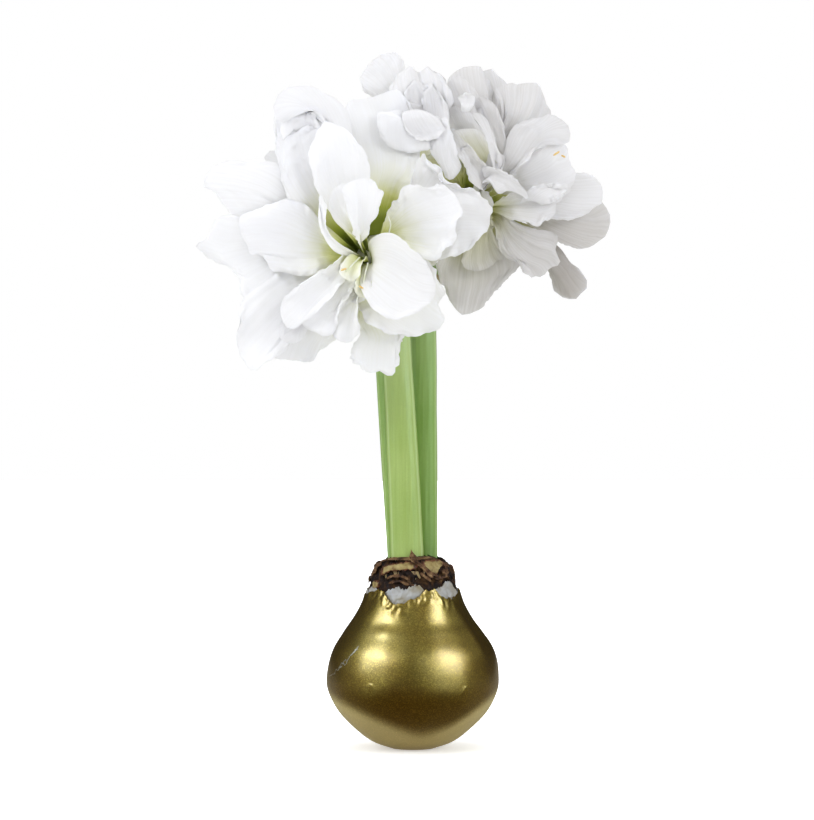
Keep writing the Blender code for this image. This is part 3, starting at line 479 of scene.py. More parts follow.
def neck_plate(low, high, out, rows, columns, seed):
    """A plate on the neck: each column runs from a point of the lower edge to one of the upper, and the
    plate stands out of the neck's profile by out times a dome that falls off at its edges. Returned are
    its front, its back, and how near each point is to its border, on a ragged line."""
    across = np.linspace(0.0, 1.0, columns)
    run = np.linspace(0.0, 1.0, 200)
    lower, upper = (np.stack([np.interp(across, run, part) for part in smooth_line(table).T], 1)[None]
                    for table in (low, high))
    up = np.linspace(0.0, 1.0, rows)[:, None]
    bearing = lower[..., 0] * (1 - up) + upper[..., 0] * up
    height = lower[..., 1] * (1 - up) + upper[..., 1] * up
    side = np.radians(bearing) * PLATE_RADIUS
    off_rows, off_columns = np.abs(2.0 * up - 1.0), np.abs(2.0 * across[None, :] - 1.0)
    height = height + 0.5 * ripple(side, height, seed, 1.9) * off_rows**3
    dome = np.clip(1.0 - off_rows**4, 0.0, 1.0) * np.clip(1.0 - off_columns**6, 0.0, 1.0)
    radius = neck_radius(height) + out * (0.25 + 0.75 * dome) + 0.25 * ripple(side, height, seed + 1, 4.0, 2)
    front = bulb_points(radius, bearing, height)
    behind = bulb_points(neck_radius(height) - PLATE_DEEP, bearing, height)
    border = np.maximum(off_rows**6, off_columns**8)
    walk = np.random.default_rng(seed).standard_normal(border.shape).cumsum(1)
    return front, behind, np.clip(border * (1.0 + 0.02 * walk), 0.0, 1.0)


def closed_plate(front, behind):
    """One grid that goes over the front, round the edge and back behind, closed on all four sides."""
    side_left, side_right = behind[:, :1], behind[:, -1:]
    wide_front = np.concatenate((side_left, front, side_right), 1)
    wide_back = np.concatenate((side_left, behind, side_right), 1)
    return np.concatenate((wide_back[:1], wide_front, wide_back[::-1]), 0)


def thin_plate(radius, bearing, height, thickness):
    """A closed plate round the Z axis, whose back lies within its front by its thickness."""
    back = bulb_points(radius - thickness, bearing, height)
    return closed_plate(bulb_points(radius, bearing, height), back)


def closed_values(values):
    """Vertex values laid out as closed_plate lays out the points: the front's own, and 1 behind."""
    wide = np.pad(values, ((0, 0), (1, 1)), constant_values=1.0)
    blank = np.ones_like(wide)
    return np.concatenate((blank[:1], wide, blank), 0)


pale, tree, shader, place = new_material("cut scale face")
mottle = grain(tree, place, 260.0, 4.0, 0.6)
face = ramp(tree, mottle, [(0.32, (0.09, 0.05, 0.015)), (0.43, (0.26, 0.19, 0.07)),
                           (0.7, (0.39, 0.315, 0.13))])
broken = scaled(tree, grain(tree, place, 420.0, 3.0), 0.9, attribute(tree, "edge"))
border = ramp(tree, broken, [(0.50, 0.0), (0.80, 1.0)])
rust = ramp(tree, grain(tree, place, 500.0), [(0.4, (0.045, 0.018, 0.008)), (0.6, (0.17, 0.06, 0.03))])
connect(shader, {"Base Color": mix(tree, border, face, rust), "Roughness": 0.6, "Specular IOR Level": 0.2,
                 "Normal": bump(tree, mottle, 0.5, 0.0004)})

plates, edges = [], []
for number, (low, high, out) in enumerate(CUT_FACES):
    front, behind, amount = neck_plate(low, high, out, 14, 34, 51 + number)
    plates.append(closed_plate(front, behind))
    edges.append(closed_values(amount))
cut_faces = make_piece("cut_scale_faces", plates, pale, attributes={"edge": edges})
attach(cut_faces, "root")

# Loose papery strips that cross the neck, and the torn point that stands up before the stems: the
# (bearing, height) points of each strip's middle line, its half width and how far it stands out.
STRIPS = [
    ([(-4, 104.6), (8, 102.2), (17, 98.6), (26, 94.6)], 0.9, 1.7),
    ([(4, 103.8), (14, 101.2), (24, 97.6), (36, 94.6)], 0.6, 1.9),
    ([(10, 97.4), (18, 94.6), (24, 92.6)], 0.8, 1.6),
    ([(30, 93.8), (40, 94.4), (50, 95.8), (58, 97.4)], 0.8, 1.2),
    ([(46, 96.2), (54, 99.8), (60, 102.0)], 1.3, 1.1),
    ([(-40, 93.6), (-26, 95.6), (-12, 95.0), (-4, 93.4)], 0.7, 0.5),
    ([(-34, 91.4), (-20, 92.8), (-6, 91.0), (6, 90.6)], 0.6, 0.6),
    ([(-60, 103.0), (-40, 104.6), (-20, 104.8), (0, 104.6), (20, 105.2), (44, 104.8)], 0.8, 0.6),
    ([(-76, 95.2), (-66, 99.0), (-58, 102.0)], 1.6, 0.8),
    ([(110, 94.0), (128, 97.0), (140, 101.5)], 1.2, 1.0),
    ([(-165, 93.0), (-150, 98.0), (-138, 101.0)], 1.4, 1.0),
    ([(165, 92.0), (180, 94.0), (200, 92.5)], 1.0, 0.9),
    ([(-112, 91.0), (-96, 93.5), (-80, 91.0)], 1.2, 0.9),
]
STRIP_THICKNESS = 0.35
DEGREE_LONG = math.radians(PLATE_RADIUS)     # millimetres along the neck in one degree
run = np.linspace(0.0, 1.0, 60)
across = np.linspace(-1.0, 1.0, 7)[:, None]
strips = []
for number, (route, half, out) in enumerate(STRIPS):
    middle = smooth_line(route, 60)
    width = half * np.sqrt(np.clip(1.0 - np.abs(2.0 * run - 1.0) ** 5, 0.02, 1.0))
    width = width * (1.0 + 0.25 * ripple(run * 12, run * 0, 80 + number, 3.0))
    slope = unit(np.gradient(middle, axis=0) * np.array((DEGREE_LONG, 1.0)))
    bearing = middle[:, 0] - across * width * slope[:, 1] / DEGREE_LONG
    height = middle[:, 1] + across * width * slope[:, 0]
    lift = 0.35 * across**2 * np.sin(run * 9.0 + number) + 0.3 * np.sin(run * 14.0 + 2.0 * number)
    strips.append(thin_plate(neck_radius(height) + out + lift, bearing, height, STRIP_THICKNESS))
# the torn point: a thin triangle that curls outwards
POINT_BASE, POINT_TIP = (4.0, 103.6), (-3.6, 110.0)
POINT_HALF = 14.0
POINT_RADIUS = 17.3
POINT_THICKNESS = 0.4
up = np.linspace(0.0, 1.0, 16)[:, None]
across = np.linspace(-1.0, 1.0, 15)[None, :]
bearing = POINT_BASE[0] + (POINT_TIP[0] - POINT_BASE[0]) * up**0.7 + across * POINT_HALF * (1.0 - up) ** 1.5
height = POINT_BASE[1] + (POINT_TIP[1] - POINT_BASE[1]) * up
radius = POINT_RADIUS - 0.5 * up + 0.8 * up**2 - 1.2 * across**2 * (1 - up)
strips.append(thin_plate(radius, bearing, height, POINT_THICKNESS))

paper, tree, shader, place = new_material("papery strip")
mottle = grain(tree, place, 240.0, 4.0, 0.65)
browns = ramp(tree, mottle, [(0.34, (0.018, 0.008, 0.003)), (0.48, (0.09, 0.042, 0.018)),
                             (0.62, (0.22, 0.13, 0.058)), (0.78, (0.40, 0.28, 0.14))])
connect(shader, {"Base Color": browns, "Roughness": 0.7, "Specular IOR Level": 0.2,
                 "Normal": bump(tree, mottle, 0.6, 0.0005)})
papery = make_piece("papery_strips", strips, paper)
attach(papery, "root")

# Bulb flesh --------------------------------------------------------------------------------------------
# The bulb itself, inside the wax: seen only at the cut neck, where its scales end in rings round the stems.

flesh, tree, shader, place = new_material("bulb flesh")
flat = node(tree, "ShaderNodeMapping", {"Vector": place, "Scale": (1.0, 1.0, 0.0)}).outputs[0]
rings = node(tree, "ShaderNodeTexWave", {"Vector": flat, "Scale": 95.0, "Distortion": 3.0, "Detail": 2.0,
                                         "Detail Scale": 3.0},
             wave_type="RINGS", rings_direction="SPHERICAL").outputs["Fac"]
cut = ramp(tree, rings, [(0.0, (0.03, 0.014, 0.006)), (0.25, (0.17, 0.10, 0.04)), (0.6, (0.43, 0.32, 0.15))])
spots = grain(tree, place, 300.0, 4.0, 0.6)
connect(shader, {"Base Color": shaded(tree, 0.6, cut, spots, [(0.35, (0.3, 0.25, 0.2)), (0.65, 1.1)]),
                 "Roughness": 0.75, "Normal": bump(tree, rings, 0.8, 0.001)})
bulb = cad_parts["bulb"]
bulb.data.materials.clear()
bulb.data.materials.append(flesh)

# Stems -------------------------------------------------------------------------------------------------
# Three scapes, smooth and flattened, stand in the cut neck. Each bears one flower stalk, which bends
# forward and swells into the three-sided ovary behind its bloom. All of it is one growth.

# For each bloom: its stem, where its throat is, and the way that it faces
BLOOMS = {
    "left": dict(stem="front", throat=(-25.2, -38.0, 275.5), axis=(-0.06, -0.95, 0.30)),
    "right": dict(stem="right", throat=(38.0, -4.0, 305.5), axis=(0.30, -0.82, 0.30)),
    "top": dict(stem="left", throat=(2.9, 4.0, 354.0), axis=(0.10, -0.75, 0.60)),
}
# For each stem: half its width and depth at the foot, how much narrower it is at the top, how pale its
# green is (the two stems behind the front one are painted darker: painted shade), and points up the middle
# of its scape and of its flower stalk
STEMS = {
    "front": dict(half=(9.1, 6.0), taper=0.84, tint=1.0,
                  scape=[(-2.0, -9.5, 84.3), (-5.0, -9.0, 150), (-8.0, -6.5, 206), (-10.5, -4.0, 240)],
                  stalk=[(-13.0, 1.5, 251.0), (-18.0, 4.5, 258.5), (-22.8, -1.0, 263.5)]),
    "right": dict(half=(7.0, 5.2), taper=1.07, tint=0.0,
                  scape=[(6.8, 9.4, 84.3), (6.3, 9.4, 150), (6.0, 10.0, 206), (7.0, 12.0, 260)],
                  stalk=[(11.5, 20.0, 274.0), (18.5, 30.0, 285.0), (24.6, 31.5, 292.3)]),
    "left": dict(half=(6.8, 5.0), taper=0.95, tint=0.35,
                 scape=[(-5.8, 2.5, 84.3), (-9.4, 5.0, 140), (-13.4, 11.0, 200), (-17.0, 22.0, 284)],
                 stalk=[(-15.0, 28.0, 300.0), (-9.0, 35.0, 315.0), (-1.3, 35.8, 328.5)]),
}
# (share of the stalk's length, radius) of the flower stalk and the ovary
STALK_SECTIONS = [(0.0, 6.4), (0.1, 5.3), (0.22, 4.0), (0.4, 3.6), (0.58, 3.6),
                  (0.72, 4.6), (0.82, 5.6), (0.91, 5.6), (1.0, 4.8)]
OVARY_LENGTH = 4.0
TUBE_LENGTH = 30.0
SEAT_GAP = 0.3
SCAPE_ROWS = 130
STALK_ROWS = 60
STEM_SIDES = 72


def along(line, fractions):
    """The points of a line at the given fractions of its length."""
    run = np.concatenate(([0.0], np.cumsum(np.linalg.norm(np.diff(line, axis=0), axis=1))))
    return np.stack([np.interp(run[-1] * fractions, run, line[:, i]) for i in range(line.shape[1])], 1)


def round_angles(sides):
    """The angles of a section's points, as one row."""
    return np.linspace(0.0, 2.0 * math.pi, sides, endpoint=False)[None, :]


def swept(line, half_wide, half_deep, sides, relief=0.0):
    """A tube of elliptical sections carried along a line, closed by a point at each end: each section's
    wide axis lies across the line and the world's Y, its deep axis across both."""
    tangent = unit(np.gradient(line, axis=0))
    wide = unit(np.cross(np.array((0.0, 1.0, 0.0)), tangent))
    deep = np.cross(tangent, wide)
    angle = round_angles(sides)
    ring = (line[:, None] + wide[:, None] * ((half_wide[:, None] + relief) * np.cos(angle))[..., None]
            + deep[:, None] * ((half_deep[:, None] + relief) * np.sin(angle))[..., None])
    start = np.repeat(line[:1, None], sides, axis=1)
    end = np.repeat(line[-1:, None], sides, axis=1)
    return np.concatenate((start, ring, end))


green, tree, shader, place = new_material("green stem")
streaks = grain(tree, place, 900.0, 3.0, 0.6, stretch=(1.0, 1.0, 0.02))
cells = grain(tree, place, 1500.0, 2.0, 0.5)
cloud = grain(tree, place, 22.0, 2.0, 0.5)
# painted shade: tint mixes the darker green into the stems that stand behind the front one
body = mix(tree, attribute(tree, "tint"), (0.228, 0.375, 0.076), (0.338, 0.465, 0.115))
body = shaded(tree, 0.55, body, cloud, [(0.35, (0.80, 0.86, 0.70)), (0.65, (1.12, 1.08, 1.25))])
body = shaded(tree, 0.45, body, streaks, [(0.35, (0.82, 0.86, 0.75)), (0.65, (1.12, 1.10, 1.20))])
body = shaded(tree, 0.12, body, cells, [(0.3, 0.6), (0.7, 1.3)])
# painted rim light: a paler green along each scape's two narrow edges
body = mix(tree, attribute(tree, "edge"), body, (0.52, 0.68, 0.33))
connect(shader, {"Base Color": mix(tree, attribute(tree, "paleness"), body, (0.62, 0.72, 0.42)),
                 "Roughness": ramp(tree, streaks, [(0.3, 0.36), (0.7, 0.5)]),
                 "Normal": bump(tree, streaks, 0.25, 0.0003),
                 "Subsurface Weight": 0.15, "Subsurface Radius": (0.002, 0.003, 0.001),
                 "Subsurface Scale": 1.0})

SCAPE_TOP = {}
rise = np.linspace(0.0, 1.0, SCAPE_ROWS)
stalk_run = np.linspace(0.0, 1.0, STALK_ROWS)[1:]
blend = smoothstep(0.0, 0.12, stalk_run)
stalk_radius = np.interp(stalk_run, *smooth_line(STALK_SECTIONS, 400).T)
angle = round_angles(STEM_SIDES)
up_scape = np.concatenate((rise, np.ones(STALK_ROWS - 1)))[:, None]
far = np.concatenate((rise * 0.0, stalk_run))[:, None]
for bloom in BLOOMS.values():
    name, stem, axis = bloom["stem"], STEMS[bloom["stem"]], unit(bloom["axis"])
    end = np.array(bloom["throat"]) - axis * (TUBE_LENGTH + SEAT_GAP)
    line = smooth_line(stem["scape"] + stem["stalk"] + [tuple(end - axis * OVARY_LENGTH), tuple(end)], 600)
    split = int(np.argmax(line[:, 2] > stem["scape"][-1][2]))
    low, high = along(line[:split + 1], rise), along(line[split:], stalk_run)
    line = np.vstack((low, high))
    narrow = 1.0 + (stem["taper"] - 1.0) * rise
    low_wide, low_deep = stem["half"][0] * narrow, stem["half"][1] * (1.0 + (narrow - 1.0) * 0.4)
    wide, deep = (np.concatenate((half, half[-1] * (1.0 - blend) + stalk_radius * blend))
                  for half in (low_wide, low_deep))
    ribs = (0.10 * ripple(angle * 4.0, line[:, 2:] * 0.012, 5, 0.9, 2) * smoothstep(1.0, 0.6, far)
            + 0.35 * np.cos(3.0 * angle) * smoothstep(0.68, 0.85, far))
    grid = swept(line, wide, deep, STEM_SIDES, ribs)
    # painted rim light: where the scape's section turns at its two narrow edges
    edge = 0.55 * np.exp(-((np.abs(np.cos(angle)) - 0.89) / 0.05) ** 2) * smoothstep(0.3, 0.0, far)
    paleness = 0.55 * smoothstep(0.62, 0.95, far) + 0.25 * smoothstep(0.5, 1.0, up_scape) + 0.0 * edge
    values = {"edge": edge, "tint": np.full(edge.shape, stem["tint"]), "paleness": paleness}
    values = {label: [np.pad(array, ((1, 1), (0, 0)), mode="edge")] for label, array in values.items()}
    piece = make_piece("green_stem_" + name, [grid], green, wrap=True, attributes=values)
    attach(piece, "root")
    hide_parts("stem_" + name)
    SCAPE_TOP[name] = (low, low_wide[-1], low_deep[-1])

# Bracts ------------------------------------------------------------------------------------------------
# Two dry bracts that once closed round the bud stay at the top of each scape, joined in a short collar.
# They are thin as paper, with long fibres, and hidden behind the blooms from the front.

# For each stem: the root and the tip of its two bracts
BRACTS = {
    "front": [((-17.0, -2.0, 239.0), (-27.0, 7.0, 268.0)), ((-4.5, -4.0, 239.0), (1.5, -9.0, 267.0))],
    "right": [((1.8, 8.0, 259.0), (-3.5, 12.0, 286.0)), ((5.5, 16.6, 259.0), (1.0, 34.0, 282.0))],
    "left": [((-23.0, 22.0, 283.0), (-33.0, 26.0, 308.0)), ((-18.5, 27.6, 283.0), (-23.0, 43.0, 304.0))],
}
BRACT_HALF = 6.0
BRACT_THICKNESS = 0.45
COLLAR_START = 0.955       # share of the scape's length
COLLAR_OUT = 1.5
COLLAR_WALL = 1.1
COLLAR_ROWS = 8
COLLAR_SIDES = 60

bract_skin, tree, shader, place = new_material("dry bract")
uv = node(tree, "ShaderNodeUVMap", uv_map="UVMap").outputs[0]
fibres = grain(tree, uv, 1.0, 4.0, 0.6, stretch=(26.0, 1.6, 1.0))
patchy = grain(tree, place, 120.0, 3.0, 0.6)
tone = ramp(tree, patchy, [(0.35, (0.33, 0.22, 0.10)), (0.55, (0.52, 0.43, 0.25)),
                           (0.72, (0.46, 0.50, 0.26))])
tone = shaded(tree, 0.6, tone, fibres, [(0.35, (0.5, 0.45, 0.4)), (0.65, (1.15, 1.15, 1.1))])
connect(shader, {"Base Color": tone, "Roughness": 0.62, "Normal": bump(tree, fibres, 0.5, 0.0005)})


def closed_sheet(surface, thickness, edge_share=0.25):
    """A thin sheet round a surface given as rows x columns of points, root row first.

    Front and back stand half the thickness off it along its normal, thinner to the edges, where they
    share the edge's points. The grid goes across the front and back again behind, so it wraps."""
    normal = np.cross(np.gradient(surface, axis=1), np.gradient(surface, axis=0))
    normal = normal / np.maximum(np.linalg.norm(normal, axis=-1, keepdims=True), 1e-9)
    rows, columns = surface.shape[:2]
    s = np.abs(np.linspace(-1.0, 1.0, columns))[None, :]
    t = np.linspace(0.0, 1.0, rows)[:, None]
    body = edge_share + (1.0 - edge_share) * np.sqrt(np.clip(1.0 - np.maximum(s, t) ** 10, 0.0, 1.0))
    half = normal * (thickness / 2.0 * body)[..., None]
    half[[0, -1]] = 0.0
    front, back = surface + half, surface - half
    front[:, [0, -1]] = surface[:, [0, -1]]
    return np.concatenate((front, back[:, ::-1][:, 1:-1]), 1)


def sheet_values(values):
    """Vertex values laid out as closed_sheet lays out its points."""
    return np.concatenate((values, values[:, ::-1][:, 1:-1]), 1)


def uv_grid(across, up):
    """UV coordinates of a grid's points, from those of its columns and rows."""
    return np.stack(np.broadcast_arrays(across, up), -1)


share = np.linspace(0.0, 1.0, 50)
half = BRACT_HALF * np.sqrt(np.clip(1.0 - share**1.6, 0.0, 1.0)) * (0.75 + 0.5 * share * (1.0 - share))
s = np.linspace(-1.0, 1.0, 25)
taper = np.linspace(0.5, 0.0, COLLAR_ROWS)
angle = round_angles(COLLAR_SIDES)
for key, blades in BRACTS.items():
    low, top_wide, top_deep = SCAPE_TOP[key]
    foot_line = along(low, np.linspace(COLLAR_START, 1.0, COLLAR_ROWS))
    grids, uvs = [], []
    for number, (root, tip) in enumerate(np.array(blades)):
        out = unit((root - foot_line[0]) * np.array((1.0, 1.0, 0.0)))
        middle = (root + tip) / 2.0 + out * 2.0
        line = along(smooth_line([root - np.array((0, 0, 3.0)), root + out, middle, tip]), share)
        side = unit(np.cross(unit(np.gradient(line, axis=0)), out))
        wrinkle = 0.25 * ripple(s[None, :] * 6.0, share[:, None] * 8.0, 90 + number + len(key), 2.4, 3)
        cupped = 0.35 * half[:, None] * s**2 + wrinkle * share[:, None]
        blade = line[:, None] + side[:, None] * (half[:, None] * s)[..., None] - out * cupped[..., None]
        grids.append(closed_sheet(blade, BRACT_THICKNESS))
        uvs.append(sheet_values(uv_grid(s[None, :], share[:, None])))
    bracts = make_piece("dry_bracts_" + key, grids, bract_skin, uvs=uvs, wrap=True)
    wide, deep = top_wide + COLLAR_OUT - taper, top_deep + COLLAR_OUT - taper
    outside = swept(foot_line, wide, deep, COLLAR_SIDES, 0.25 * np.cos(7.0 * angle))
    inside = swept(foot_line, wide - COLLAR_WALL, deep - COLLAR_WALL, COLLAR_SIDES)
    ring = np.concatenate((outside[1:-1], inside[1:-1][::-1], outside[1:2]))
    span = uv_grid(angle / 3.0, np.linspace(0.0, 1.0, len(ring))[:, None])
    collar = make_piece("bract_collar_" + key, [ring], bract_skin, uvs=[span], wrap=True)
    for piece in (bracts, collar):
        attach(piece, "root")
        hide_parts("spathe_" + key)

# Blooms ------------------------------------------------------------------------------------------------
# Three double blooms. Each is a rosette of broad outer petals with ruffled inner petals and small
# petal-like stamens before them, all rooted in a floral tube. The petals are thin, white and veined
# lengthwise, and pass through yellow-green to olive in the throat.

TUBE_RADIUS = 4.6          # ring on which the petals' claws stand
RING_SHARE = 0.1           # petals that stand further forward root further in, for each mm of depth
CLAW_ANGLE = 22.0
PETAL_THICKNESS = 0.5
END_SHARE = 0.30           # of each side's length that belongs to the petal's end margin
SIDE_TURN = 0.4 * math.pi  # the sine's angle at a petal's sides, towards which its columns crowd
# where the outlines are seen from: x, how far in front of y = 0, and z
VIEW_FROM = (-3.2, 1600.0, 185.6)
PETAL_USUAL = dict(cup=0.25, ruffle=1.2, phase=0.0, curl=0.5, frill=0.35, flutes=0.1, reflex=0.4, crush=0.0,
                   rim=(0.0, 0.0), fold=None, grey=0.0, green=0.0, root=None)


def petal(left, tip, right, depth, **own):
    """One petal's design, in millimetres from its bloom's throat.

    left and right are (x, z) points of its two sides, clockwise from the throat to the tip and back again.
    depth holds the y of the midrib from its middle to the tip, and cup lifts the sides towards the front.
    At the margin, ruffle is the size of its waves, frill that of its notches, curl and reflex how far the
    edge and the whole end bend back, and rim how far the left and right edges turn up. flutes are grooves
    along the petal, crush is the size of creases at its end, and fold is one ridge: its place from -1 to 1
    across, half width and height. grey is painted shade: how much darker than white it is painted for the
    shade it lies in, and lighter below 0. green shifts the green of its base further out. root holds the
    (x, y, z) of three points where a folded flap starts, in place of the floral tube.
    """
    return dict(PETAL_USUAL, left=left, tip=tip, right=right, depth=depth, **own)


